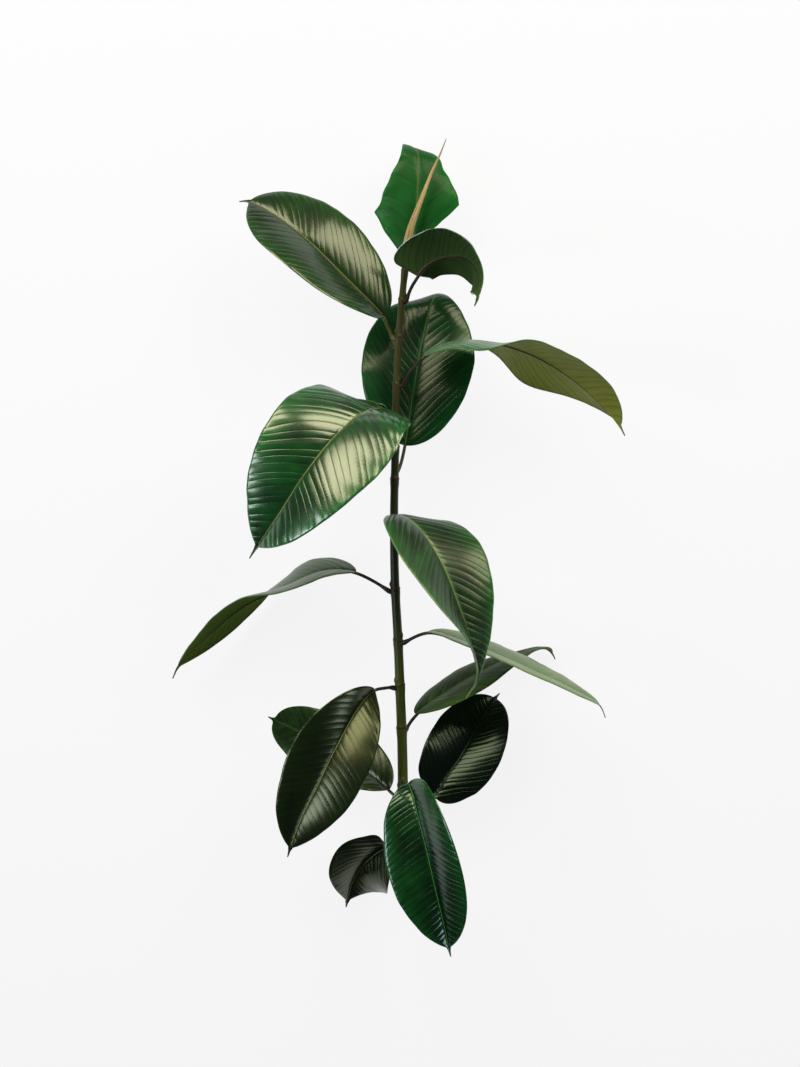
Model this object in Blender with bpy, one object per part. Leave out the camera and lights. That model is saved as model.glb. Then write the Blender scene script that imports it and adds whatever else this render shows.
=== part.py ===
"""A cut branch of a rubber plant, a ficus, laid down on a table.

The branch is a stem with fifteen leathery leaves, each a petiole and a blade grown as one, and the
long pointed sheath that wraps the bud at its tip. The cut end and the bud lie along the y axis,
x goes across the branch and z goes up from the table, with the origin under the middle of the
branch. Lengths are in millimetres until a mesh is made, and the routes are measured from a point
near that middle.
"""

import math
from dataclasses import dataclass, field

import bmesh
import bpy
from mathutils import Vector

MM = 0.001

# Where the middle of the whole branch lies, measured as the routes are.
MIDDLE = Vector((-3.0, 4.25, 0.0))

# The stem: its route from the cut end to the bud, its thickness and its joints.
STEM_ROUTE = [
    (6, -324, 60), (5, -250, 61), (4, -190, 62), (2, -140, 62), (0, -90, 62), (-3, -35, 62),
    (-4, 30, 62), (-3, 90, 62), (-2, 150, 63), (0, 200, 64), (4, 250, 66), (7, 281, 67), (9, 303, 68),
]
STEM_FOOT_RADIUS = 5.4
STEM_TOP_RADIUS = 3.1
STEM_SIDES = 12
RING_SWELL = 0.6
RING_REACH = 2.5
BUD_SWELL = 1.2
BUD_REACH = 2.5
BUD_ABOVE = 9.0
STEM_LENGTHS = 24
RING_APART = 1.2

# The sheath round the bud at the tip of the stem.
SHEATH_ROUTE = [(9, 303, 68), (15, 322, 69), (25, 349, 71), (35, 377, 74), (43, 394, 76), (48, 406, 78)]
SHEATH_RADIUS = 4.1
SHEATH_TIP_RADIUS = 0.45
SHEATH_SIDES = 10
SHEATH_RINGS = 12

# What all leaves share.
BLADE_THICKNESS = 0.9
MARGIN_THICKNESS = 0.65
PETIOLE_RADIUS = 2.3
PETIOLE_FOOT_RADIUS = 3.0
RIB_DEPTH = 1.9
RIB_TIP_SHARE = 0.2
RIB_WIDEST_SHARE = 0.4
SEAT_GAP = 0.3
STUB = 5.0
PETIOLE_RISE = 0.6
SHARP_DEGREES = 50.0
DRIP_WIDTHS = ((0.0, 5.0), (0.35, 2.6), (1.0, 0.9))

# How finely a leaf is divided: the stations down its blade and the columns across each half.
BLADE_STATIONS = (0.012, 0.04, 0.09, 0.16, 0.25, 0.35, 0.45, 0.55, 0.65, 0.75, 0.84, 0.91, 0.965)
HALF_COLUMNS = (0.36, 0.7, 1.0)
HALF_MIDDLE = 0.45
PETIOLE_STATIONS = 4
ARC_STEPS = 8
ROUTE_STEPS = 16


# Colours, as linear red, green and blue.
BARK_COLOUR = (0.10, 0.11, 0.03)
SHEATH_COLOUR = (0.55, 0.36, 0.20)
YOUNG_GREEN = (0.03, 0.17, 0.04)
OLD_GREEN = (0.008, 0.03, 0.012)


@dataclass
class Half:
    """One half of a blade: its slope up from the midrib at the blade's foot, middle and tip, in
    degrees, how many more degrees it bends by its margin, and how far the margin by the foot is
    drawn towards the tip, or back past the foot where this is negative."""

    foot: float = 12.0
    middle: float = 12.0
    tip: float = 12.0
    curl: float = 0.0
    drawn: float = 0.0


@dataclass
class Outline:
    """The outline of a blade: its full width, the share of the length where it is broadest, and how
    it narrows to its foot and to its tip. The power 0.5 is an ellipse and a higher one is more
    pointed; a roundness under 2 makes a corner at the broadest place."""

    width: float
    broadest: float = 0.45
    foot: float = 0.55
    tip: float = 0.75
    roundness: float = 2.0


@dataclass
class Leaf:
    """One leaf. The petiole leaves the stem at y = node, at a bearing round the stem: 0 is across
    to +x, 90 is up from the table. The midrib holds places from the blade's foot to its tip, each
    with the way that the upper face looks there, and the drip tip goes on from there to the end.
    The right half is on the right of a viewer who looks at the upper face with the tip up."""

    name: str
    node: float
    bearing: float
    petiole: list
    midrib: list
    end: tuple
    outline: Outline
    left: Half = field(default_factory=Half)
    right: Half = field(default_factory=Half)


LEAVES = [
    Leaf("leaf_01", 276, 262, [(9, 285, 55)],
         [((15, 293, 52), (0, -0.1, 1)), ((16, 319, 55), (0, -0.1, 1)), ((19, 351, 58), (0, 0, 1)),
          ((20, 379, 57), (0, 0.1, 1)), ((20, 398, 51), (0, 0.7, 0.8)), ((16, 406, 38), (0, 1, 0.2)),
          ((13, 405, 18), (0, 1, -0.1)), ((10, 400, 6), (0, 1, -0.4))],
         (9, 396, 0), Outline(84, 0.33, 1.0, 1.15, 1.0), Half(-10, -10, 30, 0, -14), Half(0, -5, -50, 0, 8)),
    Leaf("leaf_02", 247, 30, [(13, 262, 74)],
         [((19, 272, 80), (-0.55, 0.6, -0.5)), ((26, 281, 82), (-0.4, 0.75, -0.45)),
          ((38, 288, 87), (-0.1, 0.85, -0.4)), ((53, 290, 97), (0.3, 0.85, -0.4)),
          ((68, 285, 111), (0.6, 0.7, -0.4)), ((77, 272, 126), (0.8, 0.4, -0.4)),
          ((79, 255, 140), (0.75, 0.2, -0.6)), ((77, 242, 149), (0.75, 0.1, -0.6))],
         (75, 236, 152), Outline(82, 0.25, 0.4, 0.75), Half(8, 6, 0), Half(30, 0, -25, 0, -6)),
    Leaf("leaf_03", 210, 180, [(-9, 221, 67)],
         [((-14, 232, 71), (0.39, 0.39, 0.83)), ((-52, 271, 80), (0.39, 0.39, 0.83)),
          ((-90, 308, 84), (0.39, 0.39, 0.83)), ((-126, 336, 75), (0.2, 0.4, 0.87)),
          ((-148, 348, 66), (0.15, 0.4, 0.9))],
         (-159, 349, 60), Outline(100, 0.52, 0.5, 0.58), Half(32, 14, 4), Half(15, 12, -5)),
    Leaf("leaf_04", 68, 265, [(2, 84, 48)],
         [((7, 105, 44), (0, 0, 1)), ((16, 163, 38), (0, 0.05, 1)), ((25, 216, 33), (0, 0.1, 1)),
          ((32, 244, 30), (0, 0.4, 1)), ((38, 258, 20), (0.1, 1, 0.3)), ((42, 261, 10), (0.1, 1, -0.1)),
          ((43, 259, 5), (0.1, 1, -0.4))],
         (43, 256, 0), Outline(113, 0.45, 0.55, 0.55), Half(0, 0, -35), Half(8, 8, -15)),
    Leaf("leaf_05", 100, 95, [(-7, 122, 79)],
         [((-10, 138, 86), (0.1, 0.95, 0.3)), ((-23, 139, 108), (0, 0.85, 0.55)),
          ((-39, 132, 123), (-0.1, 0.45, 0.9)), ((-66, 106, 138), (-0.17, 0.2, 0.95)),
          ((-90, 75, 142), (-0.17, 0.14, 0.97)), ((-117, 34, 133), (-0.25, 0, 0.97)),
          ((-138, 4, 117), (-0.3, -0.1, 0.95))],
         (-146, -8, 109), Outline(125, 0.42, 0.52, 0.75), Half(-15, 5, 28), Half(5, 12, 10, 0, 8)),
    Leaf("leaf_06", 163, 20, [(12, 178, 76)],
         [((25, 192, 83), (-0.3, 0.93, 0.17)), ((52, 205, 83), (-0.1, 0.97, 0.18)),
          ((88, 207, 84), (0.1, 0.97, 0.1)), ((131, 194, 90), (0.2, 0.84, -0.36)),
          ((170, 170, 99), (0.45, 0.82, -0.33)), ((203, 139, 111), (0.6, 0.7, -0.3)),
          ((217, 121, 118), (0.7, 0.65, -0.3))],
         (222, 112, 121), Outline(95, 0.52, 0.6, 0.58), Half(0, -14, 26), Half(0, -12, 32)),
    Leaf("leaf_07", 20, 88, [(-4, 28, 79)],
         [((-2, 35, 92), (-0.2, 0.85, 0.4)), ((7, 33, 106), (0, 0.8, 0.6)), ((22, 20, 124), (0.2, 0.5, 0.85)),
          ((43, -13, 142), (0.32, 0.2, 0.94)), ((58, -51, 150), (0.42, 0.12, 0.9)),
          ((71, -92, 152), (0.6, 0.1, 0.78)), ((76, -124, 149), (0.65, 0.05, 0.76))],
         (66, -143, 147), Outline(90, 0.38, 0.55, 0.8), Half(-36, 8, 12), Half(14, 24, 60)),
    Leaf("leaf_08", -42, 180, [],
         [((-42, -22, 58), (-0.3, 0.9, 0.3)), ((-76, -21, 56), (-0.1, 0.95, 0.33)),
          ((-113, -37, 54), (-0.3, 0.92, 0.15)), ((-154, -56, 50), (-0.45, 0.85, -0.2)),
          ((-199, -94, 43), (-0.63, 0.72, -0.34)), ((-222, -118, 38), (-0.65, 0.7, -0.34))],
         (-228, -130, 35), Outline(86, 0.45, 0.6, 0.75), Half(9, 2, -8), Half(9, 2, -8)),
    Leaf("leaf_09", -93, 30, [],
         [((30, -81, 80), (0.2, 0.97, 0.16)), ((71, -93, 88), (0.3, 0.95, 0.16)),
          ((104, -106, 93), (0.4, 0.9, 0.16)), ((140, -122, 94), (0.4, 0.9, 0.16)),
          ((175, -139, 92), (0.45, 0.87, 0.16)), ((200, -154, 87), (0.5, 0.85, 0.18))],
         (206, -166, 84), Outline(76, 0.5, 0.55, 0.65), Half(7, 5, 5), Half(7, 5, 5)),
    Leaf("leaf_10", -181, 310, [],
         [((18, -165, 47), (-0.45, 0.76, 0.41)), ((57, -138, 42), (-0.45, 0.76, 0.41)),
          ((85, -122, 37), (-0.4, 0.8, 0.41)), ((108, -112, 31), (-0.3, 0.9, 0.3)),
          ((131, -104, 22), (-0.1, 0.97, 0.15)), ((150, -101, 12), (0.3, 0.95, 0.1)),
          ((157, -106, 6), (0.7, 0.7, 0.1))],
         (161, -112, 1), Outline(80, 0.38, 0.55, 0.8), Half(5, 0, 0, -20), Half(12, 8, 25, -10)),
    Leaf("leaf_11", -262, 330, [(20, -261, 48)],
         [((36, -249, 44), (0, -0.1, 1)), ((49, -229, 40), (0, 0, 1)), ((63, -209, 34), (0, 0.1, 1)),
          ((75, -189, 27), (0, 0.2, 1)), ((86, -171, 18), (0, 0.3, 1)), ((99, -152, 7), (0.1, 0.3, 1))],
         (104, -147, 0.5), Outline(76, 0.48, 0.5, 0.5), Half(8, 8, 4), Half(8, 16, 25)),
    Leaf("leaf_12", -138, 150, [(-12, -137, 76)],
         [((-23, -139, 84), (0, 0.1, 1)), ((-38, -154, 95), (0, 0.2, 1)), ((-62, -196, 107), (0, 0.1, 1)),
          ((-79, -231, 109), (0, 0, 1)), ((-95, -263, 106), (0, 0, 1)), ((-106, -293, 99), (0, -0.1, 1))],
         (-109, -303, 95), Outline(84, 0.47, 0.62, 0.72), Half(5, 14, 14), Half(62, 16, 10)),
    Leaf("leaf_13", -250, 225, [],
         [((-9, -243, 34), (0.1, 0.3, 1)), ((-23, -231, 25), (0.1, 0.3, 1)), ((-49, -215, 13), (0.1, 0.2, 1)),
          ((-75, -200, 3), (0, 0, 1)), ((-99, -187, -1), (0, 0, 1)), ((-125, -176, -1), (0, 0, 1))],
         (-134, -173, -1), Outline(70, 0.45, 0.6, 0.7), Half(28, 10, 2), Half(12, 7, 2)),
    Leaf("leaf_14", -288, 225, [],
         [((-6, -298, 45), (-0.1, 0.3, 1)), ((-15, -302, 40), (-0.1, 0.3, 1)), ((-28, -312, 31), (-0.1, 0.3, 1)),
          ((-38, -323, 24), (0, 0.3, 1)), ((-46, -338, 15), (0, 0.2, 1)), ((-52, -359, 5), (0, 0.1, 1))],
         (-53, -366, 0.5), Outline(80, 0.5, 0.55, 0.75), Half(8, 5, -10), Half(56, 53, 46)),
    Leaf("leaf_15", -238, 85, [(7, -232, 78)],
         [((10, -231, 88), (-0.1, 0.7, 0.6)), ((14, -240, 98), (-0.25, 0.4, 0.9)),
          ((20, -263, 106), (-0.32, 0.1, 0.94)), ((28, -294, 111), (-0.32, -0.08, 0.94)),
          ((35, -325, 112), (-0.32, -0.08, 0.94)), ((44, -363, 108), (-0.32, -0.15, 0.94)),
          ((50, -391, 101), (-0.3, -0.2, 0.94))],
         (52, -401, 97), Outline(86, 0.47, 0.58, 0.7), Half(35, 28, 8), Half(15, 16, 36)),
]


class Route:
    """A smooth line that passes through each of its points, read by the length along it."""

    def __init__(self, points):
        points = [Vector(p) for p in points]
        ends = [points[0] * 2 - points[1], *points, points[-1] * 2 - points[-2]]
        self.line = [points[0]]
        self.knots = [0.0]
        self.lengths = [0.0]
        for before, start, end, after in zip(ends, ends[1:], ends[2:], ends[3:]):
            for step in range(1, ROUTE_STEPS + 1):
                place = self.between(before, start, end, after, step / ROUTE_STEPS)
                self.lengths.append(self.lengths[-1] + (place - self.line[-1]).length)
                self.line.append(place)
            self.knots.append(self.lengths[-1])

    @staticmethod
    def between(before, start, end, after, share):
        """A place on the centripetal Catmull-Rom curve from start to end."""
        t0 = 0.0
        t1 = t0 + math.sqrt((start - before).length)
        t2 = t1 + math.sqrt((end - start).length)
        t3 = t2 + math.sqrt((after - end).length)
        t = t1 + (t2 - t1) * share
        a1 = before.lerp(start, (t - t0) / (t1 - t0))
        a2 = start.lerp(end, (t - t1) / (t2 - t1))
        a3 = end.lerp(after, (t - t2) / (t3 - t2))
        b1 = a1.lerp(a2, (t - t0) / (t2 - t0))
        b2 = a2.lerp(a3, (t - t1) / (t3 - t1))
        return b1.lerp(b2, (t - t1) / (t2 - t1))

    def step_at(self, length):
        """The number of the step that holds this length, and the share of it."""
        for number in range(len(self.line) - 1):
            if length <= self.lengths[number + 1] or number == len(self.line) - 2:
                whole = self.lengths[number + 1] - self.lengths[number]
                return number, (length - self.lengths[number]) / whole

    def place(self, length):
        number, share = self.step_at(length)
        return self.line[number].lerp(self.line[number + 1], share)

    def heading(self, length):
        """The unit direction of the line at this length."""
        reach = self.lengths[-1] * 0.004
        ahead = self.place(min(length + reach, self.lengths[-1]))
        behind = self.place(max(length - reach, 0.0))
        return (ahead - behind).normalized()


def mix(start, end, share):
    return start + (end - start) * share


def smooth(share):
    share = min(max(share, 0.0), 1.0)
    return share * share * (3 - 2 * share)


def blade_half_width(outline, share):
    """Half of the blade's width at a share of its length, no less than the drip tip's."""
    if share < outline.broadest:
        rest, power = 1 - share / outline.broadest, outline.foot
    else:
        rest, power = (share - outline.broadest) / (1 - outline.broadest), outline.tip
    body = max(1 - rest**outline.roundness, 0.0) ** power
    return max(outline.width / 2 * body, DRIP_WIDTHS[0][1] / 2)


def half_section(half, share_down, width):
    """A function of the distance from the midrib that gives a place on one half of the cross
    section, as the way out and the way up, and its slope in radians."""
    if share_down < HALF_MIDDLE:
        slope = math.radians(mix(half.foot, half.middle, smooth(share_down / HALF_MIDDLE)))
    else:
        past = (share_down - HALF_MIDDLE) / (1 - HALF_MIDDLE)
        slope = math.radians(mix(half.middle, half.tip, smooth(past)))
    curl = math.radians(half.curl)

    def at(distance):
        out = up = 0.0
        for step in range(ARC_STEPS):
            angle = slope + curl * distance / width * (step + 0.5) / ARC_STEPS
            out += math.cos(angle) * distance / ARC_STEPS
            up += math.sin(angle) * distance / ARC_STEPS
        return out, up, slope + curl * distance / width

    return at


def across(direction, towards):
    """The part of towards that is square to direction, as a unit vector."""
    return (towards - direction * towards.dot(direction)).normalized()


def facing_at(leaf, knots, length):
    """The way that the upper face looks at a length along the leaf, from the places around it."""
    facings = [Vector(look).normalized() for _, look in leaf.midrib]
    if length <= knots[0]:
        return facings[0]
    for number, (start, end) in enumerate(zip(knots, knots[1:])):
        if length <= end:
            return facings[number].lerp(facings[number + 1], smooth((length - start) / (end - start)))
    return facings[-1]


def columns(width, rib):
    """Distances from the midrib of the columns of one half, the edge of the rib first."""
    return [rib] + [mix(rib, width, share) for share in HALF_COLUMNS]


def blade_ring(leaf, route, knots, length, share, width):
    """The closed cross section of the blade: its upper face from the left margin to the right,
    then its lower face back again."""
    centre = route.place(length)
    along = route.heading(length)
    face = across(along, facing_at(leaf, knots, length))
    side = along.cross(face)
    taper = mix(1.0, RIB_TIP_SHARE, share)
    rib = min(RIB_DEPTH * taper, width * RIB_WIDEST_SHARE)
    thickness = mix(BLADE_THICKNESS, MARGIN_THICKNESS, share)
    upper, lower = [], []
    for sign, half in ((-1, leaf.left), (1, leaf.right)):
        section = half_section(half, share, width)
        tops, bottoms = [], []
        for distance in columns(width, rib):
            out, up, slope = section(distance)
            drawn = half.drawn * (1 - share) * (distance / width) ** 2
            top = centre + side * (sign * out) + face * up + along * drawn
            normal = face * math.cos(slope) - side * (sign * math.sin(slope))
            deep = mix(thickness, MARGIN_THICKNESS, distance / width)
            tops.append(top)
            bottoms.append(top - normal * deep)
        upper.append(tops)
        lower.append(bottoms)
    ridge = centre - face * (thickness + rib)
    top = [*reversed(upper[0]), centre, *upper[1]]
    bottom = [*reversed(lower[1]), ridge, *lower[0]]
    return top + bottom


def petiole_ring(centre, face, side, radius):
    """A round cross section with the same number of places as the blade's."""
    count = 2 * (2 * (len(HALF_COLUMNS) + 1) + 1)
    turns = [math.pi - math.pi * (2 * number + 1) / count for number in range(count)]
    return [centre + side * (math.cos(t) * radius) + face * (math.sin(t) * radius) for t in turns]


def stem_radius(y):
    share = (y - STEM_ROUTE[0][1]) / (STEM_ROUTE[-1][1] - STEM_ROUTE[0][1])
    return mix(STEM_FOOT_RADIUS, STEM_TOP_RADIUS, share)


def stem_place(route, y):
    """The middle of the stem at this y, and the length along its route."""
    for number, (start, end) in enumerate(zip(route.line, route.line[1:])):
        if start.y <= y <= end.y:
            share = (y - start.y) / (end.y - start.y)
            return start.lerp(end, share), mix(route.lengths[number], route.lengths[number + 1], share)
    raise ValueError(f"the stem doesn't reach y = {y}")


def leaf_rings(leaf, stem):
    """Cross sections from the petiole's foot on the stem to the end of the drip tip."""
    centre, _ = stem_place(stem, leaf.node)
    turn = math.radians(leaf.bearing)
    away = Vector((math.cos(turn), 0.0, math.sin(turn)))
    root = centre + away * (stem_radius(leaf.node) + RING_SWELL + SEAT_GAP)
    places = [Vector(p) for p, _ in leaf.midrib]
    rising = (away + Vector((0.0, PETIOLE_RISE, 0.0))).normalized()
    route = Route([root, root + rising * STUB, *map(Vector, leaf.petiole), *places, Vector(leaf.end)])
    foot_knot = 2 + len(leaf.petiole)
    knots = route.knots[foot_knot:foot_knot + len(places)]
    foot, tip, whole = knots[0], knots[-1], route.lengths[-1]

    # The petiole's cross sections keep the blade's facing, turned no more than its bends need.
    rings = []
    face = across(route.heading(foot), facing_at(leaf, knots, foot))
    for number in range(PETIOLE_STATIONS, -1, -1):
        share = number / PETIOLE_STATIONS
        length = foot * share
        along = away if number == 0 else route.heading(length)
        face = across(along, face)
        radius = mix(PETIOLE_FOOT_RADIUS, PETIOLE_RADIUS, smooth(share * 3))
        centre = route.place(length) - face * (PETIOLE_RADIUS * 0.5 * smooth(share))
        rings.insert(0, petiole_ring(centre, face, along.cross(face), radius))
    for share in BLADE_STATIONS:
        length = mix(foot, tip, share)
        rings.append(blade_ring(leaf, route, knots, length, share, blade_half_width(leaf.outline, share)))
    for share, width in DRIP_WIDTHS:
        rings.append(blade_ring(leaf, route, knots, mix(tip, whole, share), 1.0, width / 2))
    return [[rest_on_table(place, number, len(ring)) for number, place in enumerate(ring)] for ring in rings]


def rest_on_table(place, number, count):
    """Nothing goes under the table: what would is pressed flat on it, upper face over lower."""
    floor = BLADE_THICKNESS if number < count // 2 else 0.0
    return Vector((place.x, place.y, max(place.z, floor)))


def loft(name, rings, material, both_faces_alike=False):
    """A closed mesh over the rings. Where both_faces_alike is set, a cell of the lower face is
    split on the same diagonal as the cell of the upper face over it."""
    mesh = bpy.data.meshes.new(name)
    bm = bmesh.new()
    rows = [[bm.verts.new((place - MIDDLE) * MM) for place in ring] for ring in rings]
    count = len(rings[0])
    for low, high in zip(rows, rows[1:]):
        for k in range(count):
            a, b, c, d = low[k], low[(k + 1) % count], high[(k + 1) % count], high[k]
            if both_faces_alike and k >= count // 2:
                bm.faces.new((b, a, d))
                bm.faces.new((b, d, c))
            else:
                bm.faces.new((c, b, a))
                bm.faces.new((d, c, a))
    bm.faces.new(rows[0])
    bm.faces.new(reversed(rows[-1]))
    bmesh.ops.recalc_face_normals(bm, faces=bm.faces)
    bm.to_mesh(mesh)
    bm.free()
    mesh.shade_smooth()
    mesh.set_sharp_from_angle(angle=math.radians(SHARP_DEGREES))
    mesh.materials.append(material)
    obj = bpy.data.objects.new(name, mesh)
    bpy.context.scene.collection.objects.link(obj)
    return obj


def make_stem(route, material):
    """The stem: a tapering tube with a raised ring and a small bud at each leaf."""
    places = []
    for leaf in LEAVES:
        _, length = stem_place(route, leaf.node)
        places += [length - RING_REACH, length, length + RING_REACH]
        places += [length + BUD_ABOVE - BUD_REACH, length + BUD_ABOVE, length + BUD_ABOVE + BUD_REACH]
    total = route.lengths[-1]
    places += [total * number / STEM_LENGTHS for number in range(STEM_LENGTHS + 1)]
    kept = []
    for length in sorted(places):
        if 0 <= length <= total and (not kept or length - kept[-1] > RING_APART):
            kept.append(length)
    kept[-1] = total
    rings = []
    for length in kept:
        centre, along = route.place(length), route.heading(length)
        face = across(along, Vector((0, 0, 1)))
        side = along.cross(face)
        ring = []
        for number in range(STEM_SIDES):
            turn = 2 * math.pi * number / STEM_SIDES
            out = side * math.cos(turn) + face * math.sin(turn)
            radius = stem_radius(centre.y) + node_swell(route, length, out)
            ring.append(centre + out * radius)
        rings.append(ring)
    return loft("stem", rings, material)


def node_swell(route, length, out):
    """How far the stem's surface rises at the leaves: a ring round it, and a bud over the petiole."""
    swell = 0.0
    for leaf in LEAVES:
        _, place = stem_place(route, leaf.node)
        ring = math.exp(-(((length - place) / RING_REACH) ** 2))
        turn = math.radians(leaf.bearing)
        facing = max(0.0, out.dot(Vector((math.cos(turn), 0.0, math.sin(turn)))))
        bud = math.exp(-(((length - place - BUD_ABOVE) / BUD_REACH) ** 2)) * facing**6
        swell = max(swell, RING_SWELL * ring, BUD_SWELL * bud)
    return swell


def make_sheath(stem_end, material):
    """The sheath: a slim cone, a little bent, seated on the end of the stem."""
    route = Route(SHEATH_ROUTE)
    rings = []
    for number in range(SHEATH_RINGS + 1):
        share = number / SHEATH_RINGS
        length = mix(SEAT_GAP, route.lengths[-1], share)
        along = stem_end if number == 0 else route.heading(length)
        face = across(along, Vector((0, 0, 1)))
        side = along.cross(face)
        belly = (1 - share) ** 0.85 * (1 + 0.1 * math.sin(math.pi * min(share * 3, 1.0)))
        radius = mix(SHEATH_TIP_RADIUS, SHEATH_RADIUS, belly)
        centre = route.place(length)
        turns = [2 * math.pi * k / SHEATH_SIDES for k in range(SHEATH_SIDES)]
        rings.append([centre + (side * math.cos(t) + face * math.sin(t)) * radius for t in turns])
    return loft("bud_sheath", rings, material)


def leaf_colour(leaf):
    """Each leaf's green: bright near the bud and nearly black by the cut end, where it is older."""
    low, high = STEM_ROUTE[0][1], STEM_ROUTE[-1][1]
    share = (leaf.node - low) / (high - low)
    return tuple(mix(old, young, share) for old, young in zip(OLD_GREEN, YOUNG_GREEN))


def make_material(name, colour, roughness):
    """A material that is one colour all over."""
    material = bpy.data.materials.new(name)
    material.use_nodes = True
    shader = material.node_tree.nodes["Principled BSDF"]
    shader.inputs["Base Color"].default_value = (*colour, 1.0)
    shader.inputs["Roughness"].default_value = roughness
    shader.inputs["Metallic"].default_value = 0.0
    return material


def main():
    for obj in list(bpy.data.objects):
        bpy.data.objects.remove(obj)
    stem = Route(STEM_ROUTE)
    make_stem(stem, make_material("green_brown_bark", BARK_COLOUR, 0.5))
    make_sheath(stem.heading(stem.lengths[-1]), make_material("tan_sheath", SHEATH_COLOUR, 0.5))
    for leaf in LEAVES:
        green = make_material(leaf.name + "_leathery_green", leaf_colour(leaf), 0.25)
        loft(leaf.name, leaf_rings(leaf, stem), green, both_faces_alike=True)


main()
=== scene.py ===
"""Looks of a cut rubber plant branch, a ficus, that lies on a pale table.

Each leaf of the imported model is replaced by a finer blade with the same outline, bends and twist,
and by a stalk that runs on under the blade as its midrib. The stem gets its ring scars, buds and
cut end, and the sheath at the tip its wrapped seam. Lengths are in millimetres until a mesh is
made. The routes are measured from a point near the middle of the branch, as in the solids.
"""

import logging
import math
from dataclasses import dataclass, replace
from enum import Enum

import bpy
import numpy as np
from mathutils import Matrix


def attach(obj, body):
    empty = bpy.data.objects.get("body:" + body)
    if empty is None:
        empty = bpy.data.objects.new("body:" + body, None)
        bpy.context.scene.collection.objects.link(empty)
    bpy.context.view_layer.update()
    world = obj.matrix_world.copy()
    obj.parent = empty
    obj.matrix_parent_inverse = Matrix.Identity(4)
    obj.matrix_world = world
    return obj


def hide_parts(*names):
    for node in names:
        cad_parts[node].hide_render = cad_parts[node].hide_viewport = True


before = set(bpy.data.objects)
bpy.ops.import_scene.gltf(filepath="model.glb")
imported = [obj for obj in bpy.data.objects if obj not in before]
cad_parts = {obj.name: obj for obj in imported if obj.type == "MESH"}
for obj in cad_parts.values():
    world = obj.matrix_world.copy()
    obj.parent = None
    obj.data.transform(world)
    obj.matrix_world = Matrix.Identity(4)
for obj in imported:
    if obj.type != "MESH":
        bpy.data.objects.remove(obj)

LOG = logging.getLogger("ficus_branch")
MM = 0.001
ROOT = "root"

Numbers = tuple[float, float, float]
Amount = float | np.ndarray
Socket = bpy.types.NodeSocket
Tree = bpy.types.NodeTree

# Where the middle of the whole branch lies, measured as the routes are.
MIDDLE = np.array([-3.0, 4.25, 0.0])

# The stem's own line, which the leaves' stalks start from.
STEM_ROUTE = [
    (6, -324, 60), (5, -250, 61), (4, -190, 62), (2, -140, 62), (0, -90, 62), (-3, -35, 62),
    (-4, 30, 62), (-3, 90, 62), (-2, 150, 63), (0, 200, 64), (4, 250, 66), (7, 281, 67), (9, 303, 68),
]
SHEATH_ROUTE = [(8, 303, 68), (13, 322, 69), (23, 349, 71), (34, 377, 74), (42, 394, 76), (48, 409, 78)]

# Points nearer than this, in metres, are one point, and faces that meet at less than these angles
# are smoothed into each other.
WELD = 1e-6
TUBE_SMOOTHING = math.radians(50)
BLADE_SMOOTHING = math.radians(60)


class Slot(Enum):
    """The record's material slots."""

    BARK = "stem_bark"
    SHEATH = "bud_sheath"
    YOUNG = "young_leaf"
    OLD = "old_leaf"


class Side(Enum):
    """The two halves of a blade, for a viewer who looks at its upper face with the tip up."""

    LEFT = -1
    RIGHT = 1


@dataclass(frozen=True)
class Half:
    """One half of a blade: its slope up from the midrib at the foot, middle and tip, in degrees,
    how many more degrees it bends by its margin, and how far its margin by the foot is drawn
    towards the tip."""

    foot: float
    middle: float
    tip: float
    curl: float = 0.0
    drawn: float = 0.0


@dataclass(frozen=True)
class Outline:
    """A blade's outline: its full width, the share of its length where it is broadest, how
    pointed its foot and its tip are, and a roundness, where less than 2 makes a corner."""

    width: float
    broadest: float
    foot: float
    tip: float
    roundness: float = 2.0


@dataclass(frozen=True)
class Veins:
    """The side veins: how far apart they leave the midrib, how much they lean to the tip (the
    tangent of the angle), and how deep the creases between the raised bands are."""

    apart: float
    lean: float
    relief: float


@dataclass(frozen=True)
class Band:
    """A change in a finish: where it starts and ends, and what it goes from and to there."""

    start: float
    end: float
    low: float = 0.0
    high: float = 1.0

    def values(self) -> dict[str, float]:
        """The same four numbers by the names that a node knows them by."""
        return {"From Min": self.start, "From Max": self.end, "To Min": self.low, "To Max": self.high}


@dataclass(frozen=True)
class BladeFinish:
    """The cuticle of a leathery leaf: a smooth wax over green tissue. The eye sees a glossy,
    deep green upper face with paler veins, and a duller, olive underside.

    All colours are sRGB hex values."""

    deep: str = "#10301C"
    lively: str = "#1C5A2E"
    vein: str = "#3C6B38"
    rib: str = "#6E7440"
    under: str = "#5E7030"
    under_vein: str = "#54501E"
    rib_under: str = "#3A2C1A"
    petiole: str = "#241B10"
    drip: str = "#3A4A22"
    gloss: float = 0.24
    under_gloss: float = 0.55
    under_shine: float = 0.2
    shine: float = 0.8
    wax: float = 0.3
    glint: str = "#F8FFEC"


@dataclass(frozen=True)
class LeafShape:
    """One leaf. Its petiole leaves the stem at y = node, at a bearing round the stem: 0 is
    across to +x and 90 is up. The midrib holds places from the blade's foot to its tip, each
    with the way that the upper face looks there, and the drip tip goes on to the end. The petiole
    sets off along the stem by rise for each step away from it, and wave is how high the margin
    waves."""

    name: str
    node: float
    bearing: float
    petiole: list[Numbers]
    midrib: list[tuple[Numbers, Numbers]]
    end: Numbers
    outline: Outline
    left: Half
    right: Half
    veins: Veins
    finish: BladeFinish
    wave: float
    slot: Slot = Slot.YOUNG
    rise: float = 0.6

    @property
    def away(self) -> np.ndarray:
        """The direction straight away from the stem at this leaf's bearing."""
        turn = math.radians(self.bearing)
        return np.array([math.cos(turn), 0.0, math.sin(turn)])


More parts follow.
